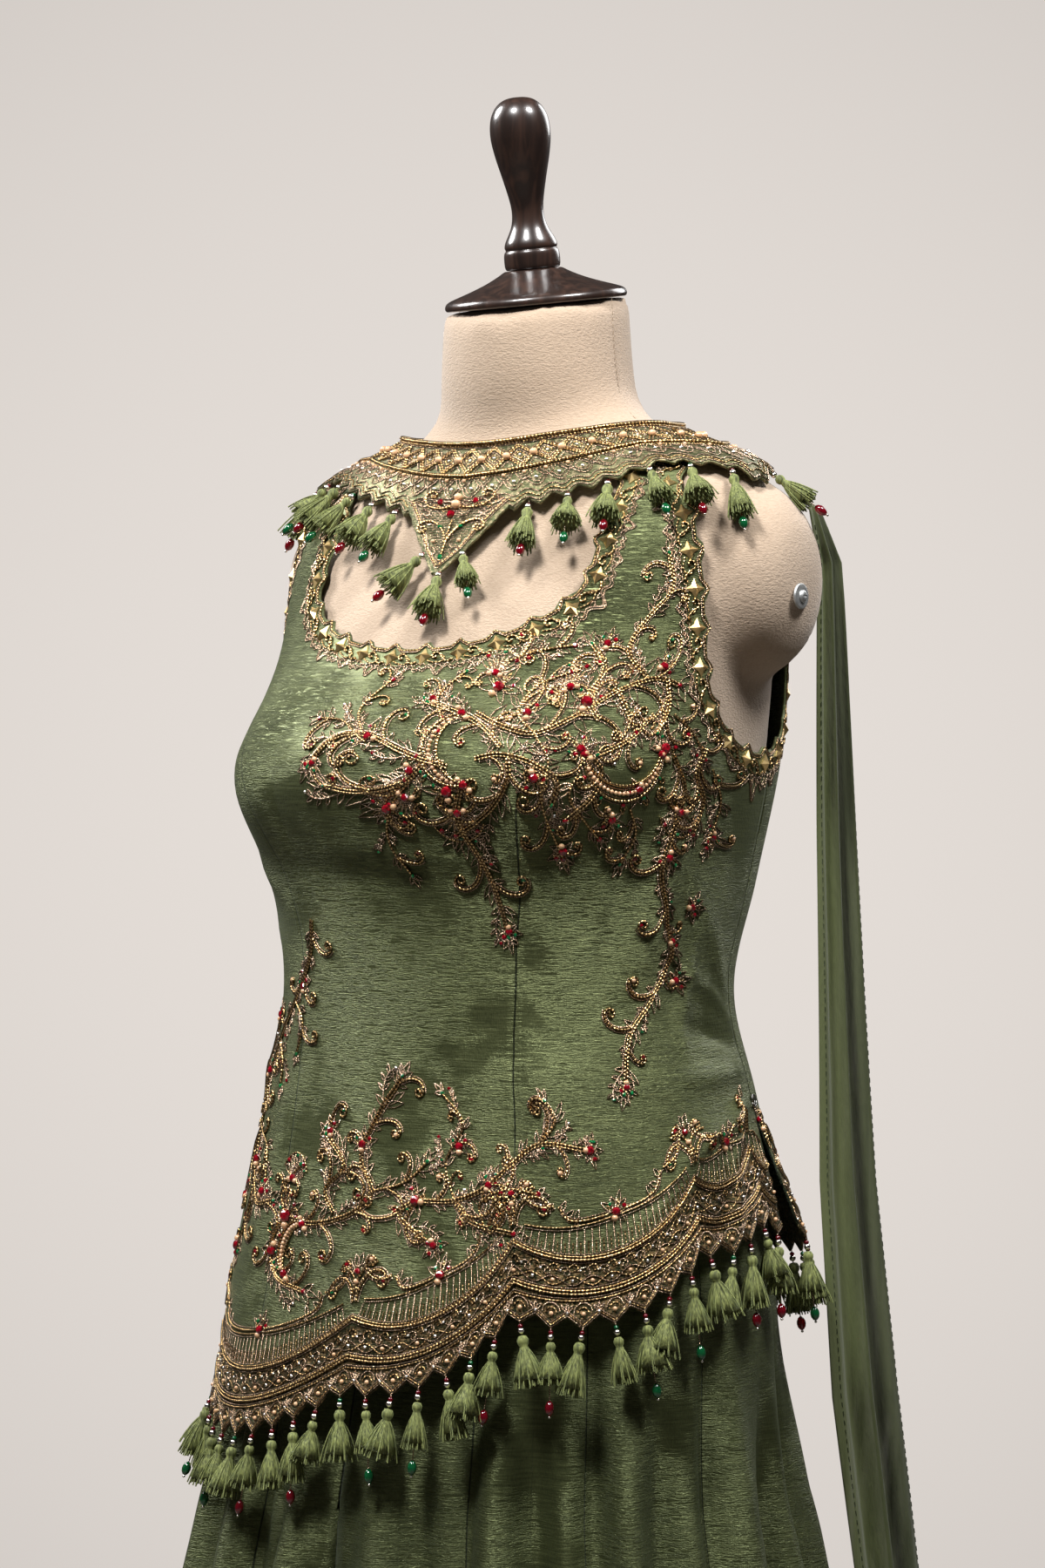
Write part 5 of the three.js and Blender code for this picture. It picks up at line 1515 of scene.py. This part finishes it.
def vine(points, size, every, double, number):
    """A stem with scrolls that leave it on alternate sides, leaves between, and a bud at the end."""
    line = bezier(*points, steps=12)
    length = run_length(line)
    point_at = lambda d: np.array([np.interp(d, length, line[:, 0]), np.interp(d, length, line[:, 1])])
    cord("bullion", beside(line, 0.8) if double else line)
    if double:
        cord("bullion", beside(line, -0.8), 0.85)
        cord("wire", beside(line, -2.1)[2:-4])
    hand = 1 if number % 2 else -1
    for i, at in enumerate(np.arange(every * 0.5, length[-1] - size * 0.4, every * 0.86)):
        place = point_at(at)
        heading = math.atan2(*(point_at(at + 1) - place)[::-1])
        own = size * (1.2 + 0.3 * math.sin(at * 1.7 + number))
        if (i + number) % 3 == 1:
            sprig(place, heading + hand * 0.75, own * 1.6, -hand, i)
        else:
            stone = ("ruby", None, "emerald", None, "pearl", "ruby", None)[(i + number) % 7]
            volute(place, heading + hand * 0.35, own, hand, stone, double=own > 7)
        for turn, long, wide in ((-0.9, 0.85, 0.28), (-0.45, 1.05, 0.3), (1.3, 0.6, 0.22)):
            leaf(place, heading + hand * turn, own * long, own * wide)
        hand = -hand
    heading = math.atan2(*(line[-1] - line[-4])[::-1])
    for turn in (-0.7, 0, 0.7):
        leaf(line[-1], heading + turn, size * (0.8 if turn else 1.1), size * 0.34)
    gem("ruby" if number % 2 else "emerald", line[-1], 1.6, heading)


def sprig(start, heading, length, hand, number):
    """A thin silver twig with paired leaves and a seed at its end."""
    line = curl(start, heading, length, hand * 0.02, hand * 0.11, 1.5)
    cord("wire", line, 1.15)
    for share in (0.35, 0.6, 0.82):
        i = int(share * (len(line) - 1))
        turn = math.atan2(*(line[i] - line[i - 1])[::-1])
        for side in (-0.75, 0.75):
            leaf(line[i], turn + side, length * 0.24, length * 0.085)
    gem(("seed", "ruby", "emerald")[number % 3], line[-1], 1.1)


def fan(at, radius, heading):
    """An open fan of looped wire over fine ribs, with a stone at its root."""
    for i in range(8):
        turn = heading + (i - 3.5) * 0.31
        leaf(polar(at, 2.2, turn), turn, radius * 0.85, radius * 0.25)
        cord("fine", polar(at, np.array((2, radius * 0.7)), turn + 0.15), 0.75)
    cord("fine", polar(at, radius, np.linspace(heading - 1.2, heading + 1.2, 18)))
    for turn, kind in ((-0.8, "ruby"), (0, "emerald"), (0.8, "ruby")):
        gem(kind, polar(at, radius * 0.9, heading + turn), 1.4)
    gem("ruby", at, 2.5)
    for side in (-1, 1):
        gem("pearl", polar(at, 3.6, heading + side * 1.9), 1.7)
        volute(at, heading + side * 1.5, radius * 0.5, side)


def crescent(at, radius, heading):
    """A crescent of doubled cords filled with rows of small pearls; heading is the way it bulges."""
    sweep = np.linspace(heading - 1.65, heading + 1.65, 40)
    taper = np.cos((sweep - heading) * 0.92)
    for name, ring in (("bullion", radius), ("bullion", radius - 8.2 * taper), ("wire", radius - 1.7 * taper),
                       ("wire", radius - 6.4 * taper), ("wire", radius + 1.5)):
        cord(name, polar(at, ring, sweep))
    for turn in np.arange(heading - 1.25, heading + 1.3, 3.0 / radius):
        gem("pearl", polar(at, radius - 4.0 * math.cos((turn - heading) * 0.92), turn), 1.25)
    for turn in (-1.1, -0.55, 0, 0.55, 1.1):
        tip = polar(at, radius + 2, heading + turn)
        leaf(tip, heading + turn, 5.0, 2.6, "fine")
        gem("ruby" if turn in (0, -1.1) else "emerald", tip, 1.4, heading + turn)
    for side in (-1, 1):
        end = polar(at, radius, heading + side * 1.6)
        gem("ruby", end, 2.6)
        gem("pearl", end + (3.4, -2.6), 1.9)
        gem("pearl", end + (-3.0, 3.0), 1.6)


def in_patch(degrees, height):
    """The embroidery is drawn in four flat pieces: bust, side, hem spray and the wearer's right."""
    if degrees < -28:
        return "right"
    if height < 1072 and degrees < 50:
        return "hem"
    return "bust" if degrees < 66 else "side"


patches = {"bust": Patch(32, 1245), "side": Patch(74, 1160), "hem": Patch(5, 1005), "right": Patch(-46, 1040)}
for name, patch in patches.items():
    for number, (size, every, double, *stem) in enumerate(STEMS):
        places = np.reshape(stem, (-1, 2))
        if in_patch(*places[len(places) // 2]) == name:
            vine([patch.flat(*at) for at in places], size, every, double, number)
    for rows, draw in ((FLOWERS, flower), (FANS, fan), (CRESCENTS, crescent)):
        for degrees, height, size, heading in rows:
            if in_patch(degrees, height) == name:
                draw(patch.flat(degrees, height), size, math.radians(heading))
    piece = finish_work(f"kurti_{name}_embroidery", patch.place)
    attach(piece, "root")

# ---- Hem tassels ----
# A tassel of green cotton thread hangs from nearly every tooth of the hem, on a short string of
# silver chain with a red or green bead and a silver one. Some carry a glass drop on a longer chain
# through the skirt. Each is tied under its head and hangs over the trousers.
TASSEL_THREADS = 58
HEM_STRING = 8.0                 # from the cloth to the tassel's head
COLLAR_STRING = 5.0
SKIRT_REACH = 20.0
HEM_DROP = 5.0                   # a glass drop's height below the skirt
COLLAR_DROP = 1.5
CHAIN = 0.38
DROP = [(0.12, -1.5), (0.45, -1.35), (0.85, -0.8), (1.0, -0.1), (0.95, 0.5), (0.62, 1.2), (0.25, 1.5)]


def tassel_tree():
    tree, source, end = geometry_tree("thread tassel", Threads="Int", Spread="Float", Reach="Float", Seed="Int")
    index = put(tree, "InputIndex")

    def chance(low, high, shift):
        return put(tree, "FunctionNodeRandomValue", Min=low, Max=high, ID=index,
                   Seed=source["Seed"] + float(shift), data_type="FLOAT")
    share = (index + 0.5).math("DIVIDE", source["Threads"]).math("SQRT")
    wide = share * source["Spread"] * chance(0.92, 1.10, 1)
    long = source["Reach"] * chance(0.95, 1.04, 2)
    spin = put(tree, "ShaderNodeCombineXYZ", Z=index * 2.399963 + chance(-0.25, 0.25, 3))
    thread = put(tree, "CurveQuadraticBezier", Resolution=4, Start=(0.20, 0, 0), Middle=(0.66, 0, -0.30),
                 End=(1.0, 0, -1.0))
    laid = put(tree, "InstanceOnPoints", Points=put(tree, "Points", Count=source["Threads"]), Instance=thread,
               Rotation=spin, Scale=put(tree, "ShaderNodeCombineXYZ", X=wide, Y=wide, Z=long))
    ring = put(tree, "CurvePrimitiveCircle", Resolution=3, Radius=0.46)
    real = put(tree, "RealizeInstances", Geometry=laid)
    return end_tree(tree, end, put(tree, "CurveToMesh", Curve=real, Profile_Curve=ring), source)


def tassel(name, spread, reach, seed):
    """One tassel in millimetres, hanging from the origin."""
    rings = [(0.4, 0.2), (2.2, -0.3), (3.2, -2.2), (3.0, -4.2), (2.1, -5.6), (2.5, -6.4), (2.6, -7.4),
             (spread * 0.52, -6 - reach * 0.36), (spread * 0.88, -5 - reach * 0.88), (0.4, -4 - reach * 0.88)]
    body = new_object(name, make_mesh(name, ring_points(rings, 9), ring_faces(rings, 9)), cotton_thread)
    start = bpy.data.meshes.new(name + "_skirt")
    start.from_pydata([(0, 0, 0)], [], [])
    skirt = run_tree(new_object(name + "_skirt", start), thread_tassel, Threads=TASSEL_THREADS, Spread=spread,
                     Reach=reach, Seed=seed, Material=cotton_thread)
    skirt.data.transform(Matrix.Translation((0, 0, -6.4)))
    for part in (body, skirt):
        smooth(part.data)
    whole = joined(name, [body, skirt])
    scene.collection.objects.unlink(whole)
    return whole


def cotton():
    tree, finish = new_material("cotton_thread")
    strand = noise(tree, (900, 900, 90))
    colour = mix(((strand - 0.32) * 2.4).clamped(), (0.048, 0.058, 0.014), (0.265, 0.295, 0.088))
    return finish(colour, 0.75, (strand, 0.7, 0.0005), Sheen_Weight=0.25, Sheen_Roughness=0.5,
                  Sheen_Tint=(0.62, 0.75, 0.35))


cotton_thread = cotton()
thread_tassel = tassel_tree()
for number, (spread, reach) in enumerate(((9.6, 20.5), (11.4, 19.5), (8.4, 21.5), (10.6, 20))):
    MADE_OF[f"tassel_{number}"] = cotton_thread, tassel(f"tassel_{number}", spread, reach, 11 * number + 3)
for stone, colour in (("ruby", (0.11, 0.001, 0.006)), ("emerald", (0.002, 0.075, 0.022))):
    glass = plain_material(stone + "_drop_glass", colour, 0.06, Coat_Weight=0.7, Subsurface_Weight=0.15)
    MADE_OF[stone + "_drop"] = glass, bead(stone + "_drop", DROP, 10)
    MADE_OF[stone + "_bead"] = glass, bead(stone + "_bead", BALL, 8)


def hang_tassel(top, down, number, string, drop_by):
    """A string of beads, a tassel and perhaps a drop, from a point along a direction."""
    down = down / np.linalg.norm(down)
    aside = unit(np.cross(down, (math.sin(number * 2.1), math.cos(number * 2.1), 0.2)))
    chain = lambda *ends: WORK["silver"].append((np.array([top + down * d * MM for d in ends]), CHAIN))
    hang = lambda kind, d, size: WORK[kind].append((top + down * d * MM, -down, aside, size))
    chain(-1.5, string * 0.5, string + 1)
    hang("emerald_bead" if number % 5 == 2 else "ruby_bead", string * 0.45, 1.45)
    hang("seed", string * 0.8, 2.1)
    hang(f"tassel_{(number * 7 + number // 3) % 4}", string, 0.93 + 0.09 * math.sin(number * 2.7))
    if drop_by is not None:
        low = string + 6.5 + SKIRT_REACH + drop_by
        chain(low - drop_by - 5, low - drop_by * 0.5, low + 1)
        hang("ruby_drop" if number % 2 else "emerald_drop", low + 3.2, 2.6)
        hang("seed", low + 8.2, 0.9)


def trouser_reach(top, outward, z):
    """How far out the trousers stand at a height, along a direction, near a hanging point."""
    cloth = np.concatenate([leg_surface(side, np.linspace(0, 1, 300), np.full(300, z)) for side in (-1, 1)])
    from_top = cloth[:, :2] - top[:2]
    near = np.abs(from_top @ np.array([-outward[1], outward[0]])) < 0.011
    return (from_top[near] @ outward).max()


def hem_tassels(half):
    angles, length, teeth = hems[half]
    edge_at = lambda s: hem_place(half)(np.array([s]), np.array([-2.0]), np.array([0.2]))[0]
    pitch = length[-1] / teeth
    for i in range(teeth):
        s = (i + 0.5) * pitch
        if min(s, length[-1] - s) < 6:
            continue
        top = edge_at(s)
        ahead = edge_at(s + 2) - top
        outward = unit(np.array([ahead[1], -ahead[0]]))
        needed = max(trouser_reach(top, outward, top[2] / MM - d) for d in (36, 48)) + 0.0095
        tilt = np.array([*(outward * max(needed, 0.005)), -0.042])
        sway = 0.14 * math.sin(i * 1.9) + 0.08 * math.sin(i * 4.3)
        tilt[:2] += 0.05 * sway * unit(ahead[:2])
        hang_tassel(top, tilt, i, HEM_STRING, HEM_DROP if i % 5 in (0, 3) else None)


for half in ("front", "back"):
    hem_tassels(half)
    piece = finish_work(f"{half}_hem_tassels")
    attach(piece, "root")
    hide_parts(f"hem_tassels_{half}")

# ---- Side hook ----
# A small steel hook and eye close the top of the left slit. Each is a bent wire, sewn inside
# one of the two edges.
HOOK_HEIGHT = 1049
MADE_OF["hook"] = plain_material("hook_steel", (0.30, 0.29, 0.28), 0.32, Metallic=1.0), 3
for shift, width, bow in ((0.0, 3.2, 5.0), (-3.0, 2.4, 3.4)):
    turns = np.linspace(-2.6, 2.6, 15)
    wire = kurti_at(SIDE_SEAM + np.radians((shift + bow * np.cos(turns)) * 0.45),
                    HOOK_HEIGHT + width * np.sin(turns), 1.1)
    WORK["hook"].append((wire, 0.6))
hook = finish_work("side_hook_and_eye")
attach(hook, "root")
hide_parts("kurti_side_hook")

# ---- Collar ----
# A separate stiffened yoke of the same silk that lies on the shoulders. A gold rope edges the neck,
# a second one divides a lattice of silver wire and pearls from a band of scales, and the outer edge
# is cut in teeth. At the front it runs down to an embroidered point.
COLLAR_EDGES = np.array([         # angle, level of the neck edge, level of the outer edge
    (0, 2.75, 5.1), (30, 2.8, 4.9), (60, 2.95, 4.8), (90, 3.1, 5.9), (120, 3.1, 5.1), (180, 3.0, 5.3)])
COLLAR_LIFT = 5.9
COLLAR_THICK = 1.5
COLLAR_TOOTH = 15.0
POINT_HALF = math.radians(17)
POINT_TIP = 6.45
TASSEL_PITCH = 23.0


def collar_at(angle, share, out):
    """The collar from its neck edge (share 0) to its outer edge (share 1)."""
    folded = np.degrees(np.abs((angle + math.pi) % (2 * math.pi) - math.pi))
    inner, outer = (np.interp(folded, COLLAR_EDGES[:, 0], COLLAR_EDGES[:, i]) for i in (1, 2))
    wave = 0.5 * np.sin(angle * 7 + 1) * np.clip(share, 0, 1) ** 2
    return on_form(angle, inner + (outer - inner) * share, (COLLAR_LIFT + wave + out) * MM)


collar_turns = np.linspace(-math.pi, math.pi, 1400)
collar_run = collar_at(collar_turns, 1.0, 0.0)
collar_length = run_length(collar_run) / MM
collar_width = np.linalg.norm(collar_run - collar_at(collar_turns, 0.0, 0.0), axis=1) / MM
collar_teeth = round(collar_length[-1] / COLLAR_TOOTH / 2) * 2
tooth_width = collar_length[-1] / collar_teeth


def collar_place(s, share, out):
    return collar_at(np.interp(s % collar_length[-1], collar_length, collar_turns), share, out)


def filled_cloth(name, grid, closed=False):
    mesh = make_mesh(name, grid, grid_faces(*grid.shape[:2], closed=closed))
    for attribute in ("seam", "worked"):
        add_attribute(mesh, attribute, "FLOAT", np.full(len(mesh.vertices), 9.0))
    smooth(mesh)
    return thicken(new_object(name, mesh, collar_silk), COLLAR_THICK, 1)


def collar_cloth():
    s = np.linspace(0, collar_length[-1], collar_teeth * 6, endpoint=False)
    zigzag = (1 - np.abs(2 * ((s / tooth_width) % 1) - 1)) * 5.0 - 1.2
    reach = 1 + zigzag / np.interp(s, collar_length, collar_width)
    grid = collar_place(s, np.linspace(0, 1, 15)[:, None] * reach, 0.0)
    return filled_cloth("collar_cloth", grid, closed=True)


def point_at(across, share, out):
    """The point, from the collar's front edge down to its tip; across runs from -1 to 1."""
    angle = across * POINT_HALF * (1 - 0.94 * share)
    top = np.interp(np.degrees(np.abs(angle)), COLLAR_EDGES[:, 0], COLLAR_EDGES[:, 2]) - 0.06
    return on_form(angle, top + (POINT_TIP - top) * share, (COLLAR_LIFT + 0.4 + out) * MM)


def point_cloth():
    down = np.linspace(0, 1, 31)[:, None]
    scallop = 1 + 0.035 * np.abs(np.sin(down * 5 * math.pi))
    return filled_cloth("collar_point_cloth", point_at(np.linspace(-1, 1, 31) * scallop, down, 0.0))


def lattice():
    """Crossed double lines of wire, pearls where they cross and nested squares between."""
    count = round(collar_length[-1] / 22.0)
    pitch = collar_length[-1] / count
    low, high = 0.09, 0.50
    middle, half = (low + high) / 2, (high - low) / 2
    for s in np.arange(count) * pitch:
        at = lambda along, up: (s + along * pitch, middle + up * half)
        for gap in (-1.3, 1.3):
            for start, end in ((low, high), (high, low)):
                line = bezier((s + gap, start), (s + pitch / 2 + gap, middle), (s + pitch + gap, end), steps=6)
                cord("fine", line, 1.15, 0.8)
        for size, name in ((0.62, "wire"), (0.38, "gilt")):
            cord(name, [at(a * size, b * size) for a, b in ((-0.5, 0), (0, -1), (0.5, 0), (0, 1), (-0.5, 0))])
        for side in (-1, 1):
            cord("wire", [at(0.28, side * 0.9), at(0.5, side * 0.45), at(0.72, side * 0.9)])
        gem("pearl", at(0.5, 0), 2.4)
        gem("seed", at(0, 0), 0.9)


def scales():
    """Nested points along the outer edge with a small gold bead in each."""
    for left in np.arange(collar_teeth) * tooth_width:
        def line(*points, steps=3):
            return bezier(*((left + along * tooth_width + inset, share) for along, inset, share in points),
                          steps=steps)
        for depth, name in ((0.0, "wire"), (0.05, "gilt"), (0.11, "wire")):
            cord(name, line((0, 0, 0.965 - depth), (0.22, 0, 0.985 - depth), (0.5, 0, 1.035 - depth),
                            (0.78, 0, 0.985 - depth), (1, 0, 0.965 - depth)))
        for row, shift, stone in ((0.62, 0.5, "pearl"), (0.74, 0, "seed")):
            cord("wire", line((shift, 0, row - 0.05), (shift + 0.2, 0, row + 0.04),
                              (shift + 0.5, 0, row + 0.10), (shift + 0.8, 0, row + 0.04),
                              (shift + 1, 0, row - 0.05)))
            cord("wire", line((shift, 2.2, row - 0.05), (shift + 0.5, 0, row + 0.055),
                              (shift + 1, -2.2, row - 0.05), steps=4))
            gem(stone, (left + (shift + 0.5) * tooth_width, row - 0.01), 1.25)


def ropes():
    s = np.arange(0, collar_length[-1], 2.6)
    for share, thickness, lift in ((0.012, 1.25, 1.2), (0.045, 0.75, 0.7), (0.545, 1.15, 1.0),
                                   (0.585, 0.5, 0.5)):
        cord("rope", level_line(s, share), thickness, lift)
    for share in (0.07, 0.525):
        cord("wire", level_line(s, share))


def point_work():
    """Millimetres from the middle of the point's tip: volutes either side of a stem, and stones, over
    close rows of flat wire."""
    for v in np.arange(7, 53, 1.7):
        half = np.interp(v, (2, 16, 33, 49, 54), (0.5, 10.5, 20.5, 31, 34)) - 4.6
        row = [(u, v + 0.9 * (i % 2)) for i, u in enumerate(np.linspace(-half, half, 7))]
        cord("wire", row, 0.8, 0.1)
    for side in (-1, 1):
        for inset, name in ((1.2, "wire"), (2.6, "fine"), (4.0, "wire")):
            cord(name, bezier((side * (34 - inset), 49), (side * (22 - inset), 33),
                              (side * (11.5 - inset * 0.7), 16), (side * 0.4, 2.0 + inset * 1.2), steps=7))
        cord("bullion", curl((0, 19), UP - side * 0.2, 44, -side * 0.035, -side * 0.62))
        cord("bullion", curl((side * 2.5, 47), UP - side * 2.1, 42, side * 0.05, side * 0.55))
        start = -0.25 if side > 0 else math.pi + 0.25
        cord("wire", curl((side * 3, 51), start, 24, side * 0.03, side * 0.5))
        for u, v, lean, length, width in ((13, 33, 0.9, 9, 4.0), (16, 40, 1.2, 9, 3.6), (20, 47, 1.3, 10, 4.0),
                                          (5, 13, 0.6, 6, 2.6)):
            leaf((side * u, v), UP - side * lean, length, width)
        gem("emerald", (side * 7.0, 31.5), 1.7)
        gem("pearl", (side * 8.4, 21.5), 1.3)
        gem("ruby", (side * 12.5, 50), 1.9)
    cord("bullion", [(0, v) for v in (8, 14, 20, 27, 36)])
    gem("pearl", (0, 47.5), 2.9)
    gem("pearl", (0, 53.5), 2.5)
    gem("ruby", (-2.2, 40.5), 2.6)
    gem("emerald", (0, 10.5), 2.1, UP)


point_length = np.linalg.norm(point_at(0.0, 1.0, 0.0) - point_at(0.0, 0.0, 0.0)) / MM
across_step = np.linalg.norm(on_form(0.05, 5.6, 0.006) - on_form(-0.05, 5.6, 0.006)) / MM / 0.1


def point_place(u, v, out):
    top = COLLAR_EDGES[0][2]
    level = top + (POINT_TIP - top) * (1 - v / point_length)
    return on_form(u / across_step, level, (COLLAR_LIFT + 0.4 + COLLAR_THICK + out) * MM)


# The collar is filled all over: metal chips over painted shade between the cords.
collar_silk = dupion_silk("collar_silk", (0.20, 0.22, 0.09), (0.07, 0.08, 0.03), 0.5,
                          ((0.10, 0.115, 0.050), (0.36, 0.29, 0.165)))
collar = collar_cloth()
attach(collar, "root")
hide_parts("collar_front", "collar_back")
point = point_cloth()
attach(point, "root")
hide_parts("collar_point")
lattice()
scales()
ropes()
piece = finish_work("collar_embroidery", lambda s, share, out: collar_place(s, share, COLLAR_THICK + out))
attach(piece, "root")
point_work()
piece = finish_work("collar_point_embroidery", point_place)
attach(piece, "root")


def over_chest(angle, z):
    return on_form(angle, level_at(angle, z, BODY, 0.2), 12.5 * MM)


first = np.interp(0, collar_turns, collar_length)
for side, name in ((1, "left"), (-1, "right")):
    for number, s in enumerate(np.arange(46, 46 + 5.5 * TASSEL_PITCH, TASSEL_PITCH), 3 if side > 0 else 0):
        angle = np.interp(first + side * s, collar_length, collar_turns)
        top = collar_at(angle, 1.03, 0.4)
        below = over_chest(angle + 0.03 * math.sin(number * 2.3), top[2] / MM - 30)
        hang_tassel(top, below - top, number, COLLAR_STRING, COLLAR_DROP)
    for number, share, offset in ((0, 0.66, 0.9), (3, 0.95, 0.6))[:2 if side > 0 else 1]:
        top = point_at(side * offset, share, 0.6)
        below = over_chest(math.atan2(top[0], -top[1]) + side * 0.02, top[2] / MM - 32)
        hang_tassel(top, below - top, number + (2 if side > 0 else 1), COLLAR_STRING, COLLAR_DROP)
    if side > 0:
        top = collar_at(math.radians(100), 1.0, 0.4)
        hang_tassel(top, np.array((0.172, 0.052, 1.378)) - top, 9, COLLAR_STRING, COLLAR_DROP)
    piece = finish_work(f"collar_tassels_{name}_side")
    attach(piece, "root")
    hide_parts(f"collar_tassels_{name}")

# ---- Cape strip ----
# A long strip of sheer green chiffon, gathered under the collar at the back of the wearer's left
# shoulder and hanging free. Both long edges are turned and sewn with running stitches.
CAPE_SIZES = ("z", "front_x", "front_y", "back_x", "back_y", "fold")
CAPE = np.array([
    (1391, 156, 46, 146, 65, 0), (1380, 160, 63, 154, 84, 1), (1350, 156, 80, 158, 100, 2),
    (1200, 154, 82, 162, 110, 3), (1000, 153, 86, 166, 126, 4), (880, 159, 91, 171, 140, 5),
    (700, 170, 118, 178, 170, 5), (400, 174, 190, 192, 250, 7), (130, 180, 246, 200, 312, 9),
], float)
CAPE_THICK = 0.5


def cape_at(u, z, out=0.0):
    rows = CAPE[::-1]
    at = {name: np.interp(z, rows[:, 0], rows[:, i]) for i, name in enumerate(CAPE_SIZES) if i}
    front, back = (np.stack([at[edge + "_x"], at[edge + "_y"]], axis=-1) for edge in ("front", "back"))
    run = unit(back - front)
    pleat = at["fold"] * np.sin(5 * math.pi * u) * (0.35 + 0.65 * smoothstep(u, 0.12, 0.45))
    fine = 0.7 * np.sin(u * 41 + z / 160) * smoothstep(u, 0.3, 0.6) + 0.8 * np.sin(z / 75 + 3 * u)
    drift = pleat + fine * np.clip((1385 - z) / 60, 0, 1) + out
    x = at["front_x"] + (at["back_x"] - at["front_x"]) * u + run[..., 1] * drift
    y = at["front_y"] + (at["back_y"] - at["front_y"]) * u - run[..., 0] * drift
    return np.stack([x, y, z + 0 * u], axis=-1) * MM


def chiffon():
    """Sheer crêpe: part of the light goes straight through between fine crinkled threads."""
    tree, finish = new_material("green_chiffon")
    crepe = noise(tree, (650, 650, 130), 3.0)
    band = noise(tree, (160, 160, 6), 3.0, Distortion=0.4)
    across = put(tree, "Attribute", attribute_name="across", out="Fac")
    # Towards the back of the strip, where it is gathered deeper, the colour is darker: painted shade.
    tone = (across * 0.75 + (band - 0.5) * 1.1).clamped()
    return finish(mix(tone, (0.112, 0.136, 0.040), (0.050, 0.060, 0.024)), 0.6,
                  (crepe + band * 1.5, 0.6, 0.0008), Alpha=((band - 0.5) * 0.35 + 0.88).clamped(),
                  Sheen_Weight=0.2)


def cape_strip():
    u = np.linspace(0, 1, 48)
    z = np.concatenate([np.linspace(1391, 1350, 12), np.linspace(1342, 130, 90)])
    mesh = make_mesh("cape_strip_cloth", cape_at(u, z[:, None]), grid_faces(len(z), len(u)))
    # The share across the strip, which darkens its back half as painted shade.
    add_attribute(mesh, "across", "FLOAT", np.tile(smoothstep(u, 0.35, 0.55), len(z)))
    smooth(mesh)
    return thicken(new_object("cape_strip_cloth", mesh, chiffon()), CAPE_THICK, 0)


cape = cape_strip()
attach(cape, "root")
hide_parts("cape_strip")
MADE_OF["stitch"] = plain_material("stitch_thread", (0.045, 0.060, 0.026), 0.7), 3
for u in (0.10, 0.955):
    for z in np.arange(1370, 140, -5.2):
        WORK["stitch"].append((cape_at(np.array(u), z - np.array((0, 1.4, 2.8)), 0.55), 0.28))
stitching = finish_work("cape_hem_stitches")
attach(stitching, "root")

# ---- Form stitching ----
# The form's jersey is closed up each side of the neck and round the root of each shoulder with a
# row of machine stitches.
MADE_OF["form_stitch"] = plain_material("form_thread", (0.26, 0.185, 0.12), 0.8), 3


def stitched(points, stitch=2.2, gap=1.5):
    length = run_length(points) / MM
    for s in np.arange(1, length[-1] - stitch, stitch + gap):
        ends = s + np.array((0, stitch / 2, stitch))
        line = np.stack([np.interp(ends, length, points[:, i]) for i in range(3)], axis=1)
        WORK["form_stitch"].append((line, 0.22))


for side in (1, -1):
    stitched(on_form(np.radians(np.full(60, side * 88.0)), np.linspace(0.25, 3.0, 60), 0.1 * MM))
    stitched(np.roll(stump_rings(side)[4], 20, axis=0) + np.array([side * 0.0002, 0, 0]))
piece = finish_work("form_stitching")
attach(piece, "root")
